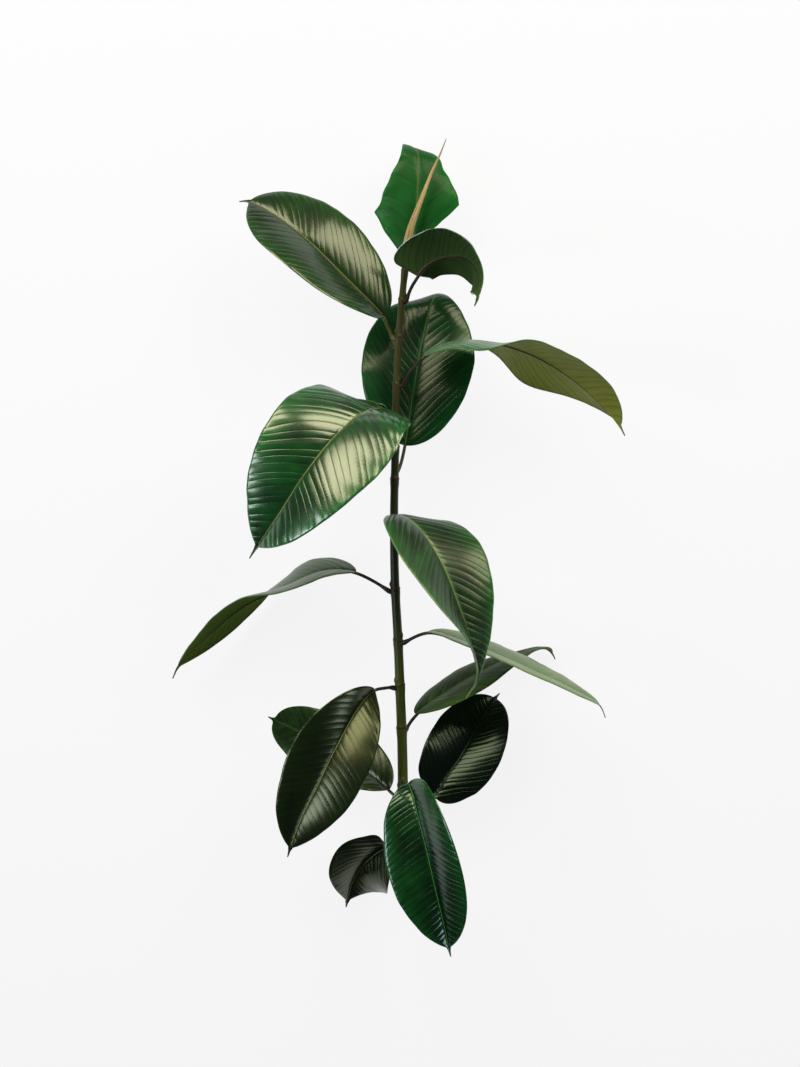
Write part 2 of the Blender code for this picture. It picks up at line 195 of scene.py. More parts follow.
# Finishes, from the youngest leaf by the bud to the oldest by the cut.
BUD_LEAF = BladeFinish(
    deep="#0C4419", lively="#157028", vein="#2A6C2C", rib="#5E5A2A", gloss=0.45, shine=0.15, wax=0.1,
)
FOLDED = BladeFinish(
    under="#3E5630", under_vein="#2A3A1C", rib_under="#2A1610", under_gloss=0.6, under_shine=0.0,
)
OLIVE_BACK = BladeFinish(
    deep="#265A28", lively="#2C6C30", under="#747C32", under_vein="#54481A", gloss=0.36, shine=0.7,
    wax=0.2, under_shine=0.1,
)
GREEN_BACK = replace(
    OLIVE_BACK, deep="#1C3E18", lively="#2A5620", under="#4C622A", under_vein="#464018", shine=0.5,
    wax=0.1, under_shine=0.0,
)
DEEP = BladeFinish(
    deep="#0A220A", lively="#22541A", vein="#305226", rib="#8A7E50", petiole="#4C4824", shine=0.62,
    wax=0.22,
)
SHADED = BladeFinish(
    deep="#02240E", lively="#0A5224", vein="#1C5E2A", rib="#4C6234", petiole="#3C4020", shine=0.34,
    wax=0.08,
)
BRIGHT = BladeFinish(
    deep="#062A10", lively="#187230", vein="#1E5E28", rib="#8A7442", petiole="#2E3418", shine=1.0,
    wax=0.5,
)
# Leaf 7: its pale vein colour paints the grey-green sheen that lies in stripes along the side veins; its
# gloss, shine and wax give its real shine.
SHINE_AND_PAINTED_STRIPES = BladeFinish(
    deep="#02180A", lively="#286A2E", vein="#749A60", rib="#7A8C5E", drip="#7C8C5A", gloss=0.34,
    shine=0.6, wax=0.12,
)
# Leaf 9: its pale grey-green deep and lively colours are partly its own green and partly a painted sheen,
# the grey-green reflection of light across its upper face.
GREEN_WITH_PAINTED_REFLECTION = BladeFinish(deep="#4E6C38", lively="#7A9656", under="#3E5A2A", gloss=0.45, shine=0.6, wax=0.2)
DULL = BladeFinish(
    deep="#0A1C04", lively="#44682A", vein="#4A5E34", rib="#3C4E28", gloss=0.42, shine=0.06, wax=0.0,
)
SHADOWED = BladeFinish(
    deep="#0C1C0C", lively="#2E5224", vein="#3C5E30", rib="#3C5228", shine=0.45, wax=0.15,
)
DARK = BladeFinish(
    deep="#020806", lively="#07160E", vein="#0E2014", rib="#2A4428", gloss=0.22, shine=0.4, wax=0.1,
    glint="#C4E8CC",
)
DARK_OLIVE = BladeFinish(
    deep="#040D06", lively="#12260C", vein="#1C3014", rib="#7E9A4E", gloss=0.28, shine=0.65, wax=0.2,
    glint="#E2EEB4",
)
GLOSSY = BladeFinish(
    deep="#041A0A", lively="#14541F", vein="#225A2C", rib="#4E9A44", gloss=0.18, shine=0.72, wax=0.27,
    glint="#C8EAD6",
)


LEAVES = [
    LeafShape(
        "leaf_01", node=276, bearing=262, petiole=[(9, 285, 55)],
        midrib=[
            ((15, 293, 52), (0, -0.1, 1)), ((16, 319, 55), (0, -0.1, 1)), ((19, 351, 58), (0, 0, 1)),
            ((20, 379, 57), (0, 0.1, 1)), ((20, 398, 51), (0, 0.7, 0.8)), ((16, 406, 38), (0, 1, 0.2)),
            ((13, 405, 18), (0, 1, -0.1)), ((10, 400, 6), (0, 1, -0.4)),
        ],
        end=(9, 396, 0), outline=Outline(88, 0.33, 1.0, 1.05, 1.0),
        left=Half(-10, -10, 30, 0, -14), right=Half(0, -5, -50, 0, 8),
        veins=Veins(6, 0.6, 0.1), finish=BUD_LEAF, wave=1.0,
    ),
    LeafShape(
        "leaf_02", node=247, bearing=30, petiole=[(13, 262, 74)],
        midrib=[
            ((19, 272, 80), (-0.55, 0.6, -0.5)), ((26, 281, 82), (-0.4, 0.75, -0.45)),
            ((38, 288, 87), (-0.1, 0.85, -0.4)), ((53, 290, 97), (0.3, 0.85, -0.4)),
            ((68, 286, 111), (0.6, 0.7, -0.4)), ((78, 271, 126), (0.75, 0.4, -0.5)),
            ((79, 256, 140), (0.62, 0.2, -0.75)), ((77, 243, 149), (0.55, 0.1, -0.8)),
        ],
        end=(74, 236, 152), outline=Outline(84, 0.42, 0.12, 1.3),
        left=Half(12, -8, 6), right=Half(30, 0, -25),
        veins=Veins(7, 0.6, 0.12), finish=FOLDED, rise=2.1, wave=0.3,
    ),
    LeafShape(
        "leaf_03", node=210, bearing=180, petiole=[(-9, 221, 67)],
        midrib=[
            ((-14, 232, 71), (0.39, 0.39, 0.83)), ((-52, 271, 80), (0.39, 0.39, 0.83)),
            ((-90, 308, 84), (0.39, 0.39, 0.83)), ((-126, 336, 75), (0.2, 0.4, 0.87)),
            ((-148, 348, 66), (0.15, 0.4, 0.9)),
        ],
        end=(-159, 349, 60), outline=Outline(100, 0.52, 0.5, 0.58),
        left=Half(32, 14, 4), right=Half(15, 12, -5),
        veins=Veins(9.5, 0.95, 0.22), finish=DEEP, rise=1.5, wave=0.3,
    ),
    LeafShape(
        "leaf_04", node=68, bearing=265, petiole=[(2, 84, 48)],
        midrib=[
            ((7, 105, 44), (0, 0, 1)), ((16, 163, 38), (0, 0.05, 1)), ((25, 216, 33), (0, 0.05, 1)),
            ((33, 246, 30), (0, 0.25, 1)), ((38, 259, 20), (0.1, 1, 0.3)), ((42, 261, 10), (0.1, 1, -0.1)),
            ((43, 259, 5), (0.1, 1, -0.4)),
        ],
        end=(43, 256, 0), outline=Outline(115, 0.5, 0.55, 0.9),
        left=Half(0, 0, -35), right=Half(8, 8, -15),
        veins=Veins(9, 0.9, 0.2), finish=SHADED, wave=0.3,
    ),
    LeafShape(
        "leaf_05", node=100, bearing=95, petiole=[(-7, 122, 79)],
        midrib=[
            ((-10, 138, 86), (0.1, 0.95, 0.3)), ((-23, 139, 108), (0, 0.92, 0.4)),
            ((-39, 132, 123), (-0.1, 0.62, 0.78)), ((-66, 106, 138), (-0.17, 0.2, 0.95)),
            ((-90, 75, 142), (-0.17, 0.14, 0.97)), ((-117, 34, 133), (-0.25, 0, 0.97)),
            ((-138, 4, 117), (-0.3, -0.1, 0.95)),
        ],
        end=(-146, -8, 109), outline=Outline(123, 0.38, 0.46, 0.75),
        left=Half(-15, 5, 28), right=Half(5, 12, 10, 0, 8),
        veins=Veins(9.5, 0.55, 0.42), finish=BRIGHT, wave=0.4,
    ),
    LeafShape(
        "leaf_06", node=163, bearing=20, petiole=[(12, 178, 76)],
        midrib=[
            ((25, 192, 83), (-0.3, 0.93, 0.17)), ((52, 205, 83), (-0.1, 0.97, 0.18)),
            ((88, 207, 84), (0.1, 0.97, 0.1)), ((131, 194, 90), (0.2, 0.84, -0.36)),
            ((170, 170, 99), (0.45, 0.82, -0.33)), ((203, 139, 111), (0.6, 0.7, -0.3)),
            ((217, 121, 118), (0.7, 0.65, -0.3)),
        ],
        end=(222, 112, 121), outline=Outline(95, 0.52, 0.6, 0.58),
        left=Half(0, -14, 26), right=Half(0, -12, 32),
        veins=Veins(10, 0.8, 0.4), finish=OLIVE_BACK, rise=0.9, wave=0.3,
    ),
    LeafShape(
        "leaf_07", node=20, bearing=88, petiole=[(-4, 28, 79)],
        midrib=[
            ((-2, 35, 92), (-0.2, 0.85, 0.4)), ((7, 33, 106), (0, 0.8, 0.6)),
            ((22, 20, 124), (0.2, 0.5, 0.85)),
            ((43, -13, 142), (0.32, 0.2, 0.94)), ((58, -51, 150), (0.42, 0.12, 0.9)),
            ((71, -92, 152), (0.6, 0.1, 0.78)), ((76, -124, 149), (0.65, 0.05, 0.76)),
        ],
        end=(66, -143, 147), outline=Outline(90, 0.38, 0.55, 0.92),
        left=Half(-36, 8, 12), right=Half(14, 24, 60),
        veins=Veins(9, 0.8, 0.44), finish=SHINE_AND_PAINTED_STRIPES, wave=0.3,
    ),
    LeafShape(
        "leaf_08", node=-42, bearing=180, petiole=[],
        midrib=[
            ((-42, -22, 58), (-0.3, 0.9, 0.3)), ((-76, -21, 56), (-0.1, 0.95, 0.33)),
            ((-113, -37, 54), (-0.3, 0.92, 0.15)), ((-154, -56, 50), (-0.45, 0.85, -0.2)),
            ((-199, -94, 43), (-0.63, 0.72, -0.34)), ((-222, -118, 38), (-0.65, 0.7, -0.34)),
        ],
        end=(-228, -130, 35), outline=Outline(86, 0.45, 0.6, 0.75),
        left=Half(9, 2, -8), right=Half(9, 2, -8),
        veins=Veins(9, 0.8, 0.25), finish=GREEN_BACK, rise=0.8, wave=0.3,
    ),
    LeafShape(
        "leaf_09", node=-93, bearing=30, petiole=[],
        midrib=[
            ((30, -81, 80), (0.2, 0.97, 0.16)), ((71, -93, 88), (0.3, 0.95, 0.16)),
            ((104, -106, 93), (0.4, 0.9, 0.16)), ((140, -122, 94), (0.4, 0.9, 0.16)),
            ((175, -139, 92), (0.45, 0.87, 0.16)), ((200, -154, 87), (0.5, 0.85, 0.18)),
        ],
        end=(206, -166, 84), outline=Outline(76, 0.5, 0.55, 0.65),
        left=Half(7, 5, 5), right=Half(7, 5, 5),
        veins=Veins(8, 0.8, 0.15), finish=GREEN_WITH_PAINTED_REFLECTION, rise=0.45, wave=0.3,
    ),
    LeafShape(
        "leaf_10", node=-181, bearing=310, petiole=[],
        midrib=[
            ((18, -165, 47), (-0.45, 0.76, 0.41)), ((57, -138, 42), (-0.45, 0.76, 0.41)),
            ((85, -122, 37), (-0.4, 0.8, 0.41)), ((108, -112, 31), (-0.3, 0.9, 0.3)),
            ((131, -104, 22), (-0.1, 0.97, 0.15)), ((150, -101, 12), (0.3, 0.95, 0.1)),
            ((157, -106, 6), (0.7, 0.7, 0.1)),
        ],
        end=(161, -112, 1), outline=Outline(80, 0.38, 0.55, 0.8),
        left=Half(5, 0, 0, -20), right=Half(12, 8, 25, -10),
        veins=Veins(8, 0.8, 0.2), finish=DULL, slot=Slot.OLD, rise=1.2, wave=0.3,
    ),
    LeafShape(
        "leaf_11", node=-262, bearing=330, petiole=[(20, -261, 48)],
        midrib=[
            ((36, -249, 44), (0, -0.1, 1)), ((49, -229, 40), (0, 0, 1)), ((63, -209, 34), (0, 0.1, 1)),
            ((75, -189, 27), (0, 0.2, 1)), ((86, -171, 18), (0, 0.3, 1)), ((99, -152, 7), (0.1, 0.3, 1)),
        ],
        end=(104, -147, 0.5), outline=Outline(80, 0.46, 0.42, 0.5),
        left=Half(8, 8, 4), right=Half(8, 16, 25),
        veins=Veins(6, 0.6, 0.25), finish=DARK, slot=Slot.OLD, wave=0.3,
    ),
    LeafShape(
        "leaf_12", node=-138, bearing=150, petiole=[(-12, -137, 76)],
        midrib=[
            ((-23, -139, 84), (0, 0.1, 1)), ((-38, -154, 95), (0, 0.2, 1)), ((-62, -196, 107), (0, 0.1, 1)),
            ((-79, -231, 109), (0, 0, 1)), ((-95, -263, 106), (0, 0, 1)), ((-106, -293, 99), (0, -0.1, 1)),
        ],
        end=(-109, -303, 95), outline=Outline(84, 0.47, 0.68, 0.72),
        left=Half(5, 14, 14), right=Half(62, 16, 10),
        veins=Veins(8, 0.5, 0.18), finish=DARK_OLIVE, slot=Slot.OLD, rise=0.2, wave=0.3,
    ),
    LeafShape(
        "leaf_13", node=-250, bearing=225, petiole=[],
        midrib=[
            ((-9, -243, 34), (0.1, 0.3, 1)), ((-23, -231, 25), (0.1, 0.3, 1)),
            ((-49, -215, 13), (0.1, 0.2, 1)),
            ((-75, -200, 3), (0, 0, 1)), ((-99, -187, -1), (0, 0, 1)), ((-127, -174, -1), (0, 0, 1)),
        ],
        end=(-133, -171, -1), outline=Outline(70, 0.47, 0.6, 0.42),
        left=Half(28, 10, 2), right=Half(12, 7, 2),
        veins=Veins(8, 0.7, 0.12), finish=SHADOWED, slot=Slot.OLD, wave=0.3,
    ),
    LeafShape(
        "leaf_14", node=-288, bearing=225, petiole=[],
        midrib=[
            ((-6, -298, 45), (-0.1, 0.3, 1)), ((-15, -302, 40), (-0.1, 0.3, 1)),
            ((-28, -312, 31), (-0.1, 0.3, 1)),
            ((-38, -323, 24), (0, 0.3, 1)), ((-46, -338, 15), (0, 0.2, 1)), ((-52, -359, 5), (0, 0.1, 1)),
        ],
        end=(-53, -366, 0.5), outline=Outline(79, 0.44, 0.55, 1.15),
        left=Half(8, 5, -10), right=Half(56, 53, 46),
        veins=Veins(6, 0.6, 0.22), finish=DARK_OLIVE, slot=Slot.OLD, wave=0.3,
    ),
    LeafShape(
        "leaf_15", node=-238, bearing=85, petiole=[(7, -232, 78)],
        midrib=[
            ((10, -231, 88), (-0.1, 0.7, 0.6)), ((14, -240, 98), (-0.25, 0.4, 0.9)),
            ((20, -263, 106), (-0.32, 0.1, 0.94)), ((28, -294, 111), (-0.32, -0.08, 0.94)),
            ((35, -325, 112), (-0.32, -0.08, 0.94)), ((44, -363, 108), (-0.32, -0.15, 0.94)),
            ((50, -391, 101), (-0.3, -0.2, 0.94)),
        ],
        end=(52, -401, 97), outline=Outline(86, 0.47, 0.58, 0.7),
        left=Half(35, 28, 8), right=Half(15, 16, 36),
        veins=Veins(6, 0.35, 0.25), finish=GLOSSY, slot=Slot.OLD, wave=0.3,
    ),
]


def mix(start: Amount, end: Amount, share: Amount) -> Amount:
    """Goes from start to end as share goes from 0 to 1."""
    return start + (end - start) * share


def smooth(share: Amount) -> Amount:
    """A share from 0 to 1 that starts and ends softly."""
    share = np.clip(share, 0.0, 1.0)
    return share * share * (3 - 2 * share)


def eased(count: int, easing: float) -> np.ndarray:
    """This many shares from 0 to 1, closer together at both ends the more they are eased."""
    even = np.linspace(0.0, 1.0, count)
    return mix(even, 0.5 - 0.5 * np.cos(np.pi * even), easing)


def unit(vectors: np.ndarray) -> np.ndarray:
    """The same directions, each of length 1."""
    return vectors / np.linalg.norm(vectors, axis=-1, keepdims=True)


def across(direction: np.ndarray, towards: np.ndarray) -> np.ndarray:
    """The part of towards that is square to direction, of length 1."""
    shadow = (direction * towards).sum(axis=-1, keepdims=True)
    return unit(towards - direction * shadow)


def curve_through(knots: np.ndarray, values: np.ndarray, at: np.ndarray) -> np.ndarray:
    """Reads a smooth curve that passes through values at knots.

    Args:
        knots: rising positions.
        values: a number or a row of numbers for each knot.
        at: the positions to read at.

    Returns:
        The curve's values at these positions.
    """
    knots = np.asarray(knots, dtype=float)
    values = np.asarray(values, dtype=float).reshape(len(knots), -1)
    steps = np.diff(values, axis=0) / np.diff(knots)[:, None]
    slopes = np.concatenate([steps[:1], (steps[:-1] + steps[1:]) / 2, steps[-1:]])
    at = np.clip(at, knots[0], knots[-1])
    span = np.clip(np.searchsorted(knots, at, side="right") - 1, 0, len(knots) - 2)
    whole = (knots[span + 1] - knots[span])[:, None]
    t = (at - knots[span])[:, None] / whole
    return (
        values[span] * (1 + 2 * t) * (1 - t) ** 2
        + slopes[span] * whole * t * (1 - t) ** 2
        + values[span + 1] * t**2 * (3 - 2 * t)
        + slopes[span + 1] * whole * t**2 * (t - 1)
    )


def spokes(along: np.ndarray, up: np.ndarray, sides: int) -> tuple[np.ndarray, np.ndarray]:
    """Directions that stand out all round a line, as the spokes of a wheel on it.

    Args:
        along: the line's heading at each ring.
        up: the direction square to it that is a quarter of a turn on.
        sides: how many spokes a ring has.

    Returns:
        Each spoke's turn in radians, and its direction, rings by sides by 3.
    """
    turns = 2 * np.pi * np.arange(sides) / sides
    sideways = np.cross(along, up)
    out = sideways[:, None] * np.cos(turns)[None, :, None] + up[:, None] * np.sin(turns)[None, :, None]
    return turns, out


class Route:
    """A smooth line that passes through each of its points, read by the length along it."""

    STEPS = 48
    REACH = 2.0

    def __init__(self, points: list) -> None:
        """Samples the centripetal Catmull-Rom curve through the points.

        Args:
            points: the places that the line passes through, in order.
        """
        given = [np.asarray(p, dtype=float) for p in points]
        ends = [given[0] * 2 - given[1], *given, given[-1] * 2 - given[-2]]
        share = np.arange(1, self.STEPS + 1)[:, None] / self.STEPS
        rows = [given[0][None]]
        for four in zip(ends, ends[1:], ends[2:], ends[3:]):
            rows.append(self.between(*four, share))
        self.line = np.concatenate(rows)
        gaps = np.linalg.norm(np.diff(self.line, axis=0), axis=1)
        self.lengths = np.concatenate([[0.0], np.cumsum(gaps)])
        self.knots = self.lengths[::self.STEPS]

    @staticmethod
    def between(
        before: np.ndarray, start: np.ndarray, end: np.ndarray, after: np.ndarray, share: np.ndarray,
    ) -> np.ndarray:
        """Places on the curve from start to end.

        Args:
            before: the point before start.
            start: where this stretch starts.
            end: where it ends.
            after: the point after end.
            share: the shares of the way, one in each row.

        Returns:
            A place for each share.
        """
        t1 = math.sqrt(np.linalg.norm(start - before))
        t2 = t1 + math.sqrt(np.linalg.norm(end - start))
        t3 = t2 + math.sqrt(np.linalg.norm(after - end))
        t = t1 + (t2 - t1) * share
        # Six straight mixes, each of two places, make the curve.
        a1 = before + (start - before) * t / t1
        a2 = start + (end - start) * (t - t1) / (t2 - t1)
        a3 = end + (after - end) * (t - t2) / (t3 - t2)
        b1 = a1 + (a2 - a1) * t / t2
        b2 = a2 + (a3 - a2) * (t - t1) / (t3 - t1)
        return b1 + (b2 - b1) * (t - t1) / (t2 - t1)

    @property
    def whole(self) -> float:
        """The length of the whole line."""
        return float(self.lengths[-1])

    def places(self, lengths: np.ndarray) -> np.ndarray:
        """The places at these lengths along the line."""
        return np.stack([np.interp(lengths, self.lengths, self.line[:, k]) for k in range(3)], axis=-1)

    def headings(self, lengths: np.ndarray) -> np.ndarray:
        """The directions of the line.

        Args:
            lengths: lengths along it.

        Returns:
            The direction at each, of length 1.
        """
        ahead = self.places(np.minimum(lengths + self.REACH, self.whole))
        behind = self.places(np.maximum(lengths - self.REACH, 0.0))
        return unit(ahead - behind)

    def length_at_y(self, y: float) -> float:
        """The length along a line that rises in y, where it passes this y."""
        return float(np.interp(y, self.line[:, 1], self.lengths))


def linear(colour: str) -> tuple[float, float, float, float]:
    """Turns an sRGB hex value into the linear colour that a shader takes.

    Args:
        colour: the hex value, with its # sign.

    Returns:
        Red, green, blue and an alpha of 1.
    """
    shares = [int(colour[k:k + 2], 16) / 255 for k in (1, 3, 5)]
    light = [s / 12.92 if s <= 0.04045 else ((s + 0.055) / 1.055) ** 2.4 for s in shares]
    return (*light, 1.0)


def add_node(
    tree: Tree, kind: str, links: dict | None = None, values: dict | None = None, **settings: str,
) -> bpy.types.Node:
    """Adds one node to a node tree.

    Args:
        tree: the node tree.
        kind: the node's type.
        links: for inputs, by name or number, the output that feeds each.
        values: for inputs, by name or number, the value that each holds.
        settings: the node's own properties.

    Returns:
        The new node.
    """
    node = tree.nodes.new(kind)
    for name, value in settings.items():
        setattr(node, name, value)
    for name, value in (values or {}).items():
        node.inputs[name].default_value = value
    for name, output in (links or {}).items():
        tree.links.new(output, node.inputs[name])
    return node


def new_material(name: str) -> tuple[bpy.types.Material, Tree, bpy.types.Node]:
    """A material with nothing but its output and a Principled BSDF.

    Args:
        name: the material's name.

    Returns:
        The material, its node tree and its shader.
    """
    material = bpy.data.materials.new(name)
    material.use_nodes = True
    shader = material.node_tree.nodes["Principled BSDF"]
    return material, material.node_tree, shader


def finish_shader(
    tree: Tree, shader: bpy.types.Node, colour: Socket, normal: Socket | None, even: dict,
) -> None:
    """Gives a shader its colour, its bumps and its even values.

    Args:
        tree: the material's tree.
        shader: its Principled BSDF.
        colour: the output that gives the colour.
        normal: the output that gives the bumps, where there are any.
        even: for its other sockets, by name, the value that each holds all over.
    """
    tree.links.new(colour, shader.inputs["Base Color"])
    if normal:
        tree.links.new(normal, shader.inputs["Normal"])
    for name, value in even.items():
        shader.inputs[name].default_value = value


def carried(tree: Tree, name: str) -> list[Socket]:
    """The three numbers that a mesh carries in its attribute of this name."""
    place = add_node(tree, "ShaderNodeAttribute", attribute_name=name)
    return list(add_node(tree, "ShaderNodeSeparateXYZ", {0: place.outputs["Vector"]}).outputs)


def grain(tree: Tree, size: float, detail: float, roughness: float = 0.5, lengthwise: float = 1.0) -> Socket:
    """Irregular soft grains all through a piece.

    Args:
        tree: the material's tree.
        size: how large a grain is, in millimetres.
        detail: how many times finer grains are laid over it.
        roughness: how strong these are.
        lengthwise: the grain's scale along y, less than 1 where it is drawn out along the branch.

    Returns:
        The output that gives the pattern, from 0 to 1.
    """
    place = add_node(tree, "ShaderNodeTexCoord").outputs["Object"]
    if lengthwise != 1.0:
        drawn = add_node(tree, "ShaderNodeMapping", {"Vector": place}, {"Scale": (1.0, lengthwise, 1.0)})
        place = drawn.outputs[0]
    noise = add_node(
        tree, "ShaderNodeTexNoise", {"Vector": place},
        {"Scale": 1 / (size * MM), "Detail": detail, "Roughness": roughness},
    )
    return noise.outputs["Fac"]


def deselect_all() -> None:
    """Leaves nothing selected, as every modelling step starts."""
    if bpy.context.object and bpy.context.object.mode != "OBJECT":
        bpy.ops.object.mode_set(mode="OBJECT")
    bpy.ops.object.select_all(action="DESELECT")


def placed_grid(name: str, places: np.ndarray, attributes: dict[str, np.ndarray]) -> bpy.types.Object:
    """A grid primitive whose rows and columns are set on these places.

    Args:
        name: the piece's name.
        places: rows by columns by 3, in millimetres.
        attributes: for each attribute's name, rows by columns by 3 numbers that the finish reads.

    Returns:
        The new object, at the origin.
    """
    rows, columns = places.shape[:2]
    deselect_all()
    bpy.ops.mesh.primitive_grid_add(
        x_subdivisions=columns - 1, y_subdivisions=rows - 1, size=1.0, location=(0, 0, 0),
    )
    piece = bpy.context.object
    piece.name = name
    piece.data.name = name
    metres = (places - MIDDLE) * MM
    metres[..., 2] = np.maximum(metres[..., 2], 0.0)
    piece.data.vertices.foreach_set("co", metres.reshape(-1).astype(np.float32))
    for key, numbers in attributes.items():
        layer = piece.data.attributes.new(key, "FLOAT_VECTOR", "POINT")
        layer.data.foreach_set("vector", numbers.reshape(-1).astype(np.float32))
    piece.data.update()
    return piece


def rolled_tube(
    name: str, rings: np.ndarray, key: str, share: np.ndarray, marks: np.ndarray,
) -> bpy.types.Object:
    """A grid primitive rolled into a closed tube: its side columns are welded and its ends filled.

    Args:
        name: the piece's name.
        rings: rings by places by 3, in millimetres.
        key: the name of the attribute that the finish reads.
        share: how far along the piece each ring is, which is what the attribute holds first.
        marks: a number for each place on each ring, which it holds second.

    Returns:
        The new object.
    """
    reads = np.stack([np.broadcast_to(share[:, None], marks.shape), marks, np.zeros_like(marks)], axis=-1)
    closed, closed_reads = (np.concatenate([given, given[:, :1]], axis=1) for given in (rings, reads))
    piece = placed_grid(name, closed, {key: closed_reads})
    bpy.ops.object.mode_set(mode="EDIT")
    bpy.ops.mesh.select_all(action="SELECT")
    bpy.ops.mesh.remove_doubles(threshold=WELD)
    bpy.ops.mesh.select_all(action="SELECT")
    bpy.ops.mesh.fill_holes(sides=0)
    bpy.ops.mesh.select_all(action="SELECT")
    bpy.ops.mesh.normals_make_consistent(inside=False)
    bpy.ops.object.mode_set(mode="OBJECT")
    bpy.ops.object.shade_smooth_by_angle(angle=TUBE_SMOOTHING)
    return piece


def apply_solidify(piece: bpy.types.Object, thickness: float) -> None:
    """Gives a sheet its thickness, downwards, with its lower face in the second material.

    Args:
        piece: the sheet.
        thickness: in millimetres.
    """
    deselect_all()
    piece.select_set(True)
    bpy.context.view_layer.objects.active = piece
    solid = piece.modifiers.new("thickness", "SOLIDIFY")
    solid.thickness = thickness * MM
    solid.offset = -1.0
    solid.material_offset = 1
    bpy.ops.object.modifier_apply(modifier=solid.name)
    bpy.ops.object.shade_smooth_by_angle(angle=BLADE_SMOOTHING)


def show(piece: bpy.types.Object, slot: Slot, *materials: bpy.types.Material) -> None:
    """Dresses a piece, and puts it on the branch's one body.

    Args:
        piece: the piece.
        slot: not used.
        materials: what it is dressed in.
    """
    piece.data.materials.clear()
    for material in materials:
        piece.data.materials.append(material)
    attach(piece, ROOT)


@dataclass
class Stem:
    """The stem: a tapering shoot with a ring scar and a small bud at each leaf, cut square."""

    foot_radius: float = 5.4
    top_radius: float = 3.1
    sides: int = 40
    ring_apart: float = 1.0
    first_ring: float = 0.35
    cut_bevel: float = 0.5
    scar_height: float = 0.55
    scar_reach: float = 1.1
    scar_above: float = 3.6
    scar_tilt: float = 2.2
    swell: float = 0.5
    swell_reach: float = 5.0
    bud_height: float = 1.5
    bud_reach: float = 2.6
    bud_above: float = 8.0
    bud_narrowness: int = 8
    ridges: int = 7
    ridge_height: float = 0.07
    fine_ridges: int = 11
    fine_ridge_height: float = 0.05
    grain_size: float = 2.0
    grain_stretch: float = 0.12
    grain_depth: float = 0.3
    corky: Band = Band(0.35, 0.7, high=0.5)
    pith_size: float = 1.5
    cut_edge: str = "#26301C"
    young: str = "#34380F"
    young_from: float = 0.8
    middle: str = "#16280A"
    old: str = "#3E5014"
    scar: str = "#34240E"
    cut_face: str = "#B9BE8E"
    pith: str = "#8A8A54"

    def __post_init__(self) -> None:
        """Lays the stem's line."""
        self.route = Route(STEM_ROUTE)

    def radius_at(self, y: Amount) -> Amount:
        """The stem's bare radius at this y."""
        share = (y - STEM_ROUTE[0][1]) / (STEM_ROUTE[-1][1] - STEM_ROUTE[0][1])
        return mix(self.foot_radius, self.top_radius, share)

    def build(self) -> None:
        """Builds the stem and dresses it."""
        lengths = np.arange(0.0, self.route.whole, self.ring_apart)
        lengths = np.concatenate([[0.0], lengths + self.first_ring])
        lengths[-1] = self.route.whole
        centre = self.route.places(lengths)
        along = self.route.headings(lengths)
        up = across(along, np.array([[0.0, 0.0, 1.0]]))
        turns, out = spokes(along, up, self.sides)
        radius = np.repeat(self.radius_at(centre[:, 1])[:, None], self.sides, 1)
        scars = np.zeros_like(radius)
        for leaf in LEAVES:
            past = (lengths - self.route.length_at_y(leaf.node))[:, None]
            facing = np.clip(out @ leaf.away, 0.0, 1.0)
            scar = np.exp(-(((past - self.scar_above + self.scar_tilt * facing) / self.scar_reach) ** 2))
            broad = np.exp(-((past / self.swell_reach) ** 2))
            bud = np.exp(-(((past - self.bud_above) / self.bud_reach) ** 2)) * facing**self.bud_narrowness
            radius = radius + self.scar_height * scar + self.swell * broad + self.bud_height * bud
            scars = np.maximum(scars, scar)
        ridges = self.ridge_height * np.cos(turns * self.ridges)
        ridges = ridges + self.fine_ridge_height * np.sin(turns * self.fine_ridges + 1)
        radius = radius + ridges
        radius[0] -= self.cut_bevel
        rings = centre[:, None] + out * radius[..., None]
        piece = rolled_tube("stem_bark", rings, "bark", lengths / self.route.whole, scars)
        show(piece, Slot.BARK, self.bark(), self.cut())
        for face in piece.data.polygons:
            if len(face.vertices) > 4 and face.center.y < 0:
                face.material_index = 1
        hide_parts("stem")
        LOG.info("stem: %d faces", len(piece.data.polygons))

    def bark(self) -> bpy.types.Material:
        """Young green bark: smooth, thin skin with fine lengthwise grain and pale corky specks,
        brown in the light at the top, deep green in the middle and olive by the cut.

        Returns:
            The material.
        """
        material, tree, shader = new_material("young_green_bark")
        share, scar, _ = carried(tree, "bark")
        ramp = add_node(tree, "ShaderNodeValToRGB", {0: share})
        elements = ramp.color_ramp.elements
        elements[0].color = linear(self.cut_edge)
        elements[-1].position = self.young_from
        elements[-1].color = linear(self.young)
        stops = ((0.1, self.old), (0.3, self.old), (0.42, self.middle), (0.68, self.middle))
        for position, colour in stops:
            elements.new(position).color = linear(colour)
        fibres = grain(tree, self.grain_size, detail=4.0, roughness=0.6, lengthwise=self.grain_stretch)
        patches = add_node(tree, "ShaderNodeMapRange", {"Value": fibres}, self.corky.values())
        colour = ramp.outputs["Color"]
        for shown in (patches.outputs[0], scar):
            coat = add_node(
                tree, "ShaderNodeMix", {"Factor": shown, "A": colour}, {"B": linear(self.scar)},
                data_type="RGBA",
            )
            colour = coat.outputs["Result"]
        bump = add_node(
            tree, "ShaderNodeBump", {"Height": fibres}, {"Strength": 0.6, "Distance": self.grain_depth * MM},
        )
        even = {"Roughness": 0.45, "Specular IOR Level": 0.3}
        finish_shader(tree, shader, colour, bump.outputs[0], even)
        return material

    def cut(self) -> bpy.types.Material:
        """The cut end: damp pale green wood round a darker pith.

        Returns:
            The material.
        """
        material, tree, shader = new_material("fresh_cut_wood")
        wood = add_node(
            tree, "ShaderNodeMix", {"Factor": grain(tree, self.pith_size, detail=3.0)},
            {"A": linear(self.cut_face), "B": linear(self.pith)}, data_type="RGBA",
        )
        finish_shader(tree, shader, wood.outputs["Result"], None, {"Roughness": 0.6})
        return material


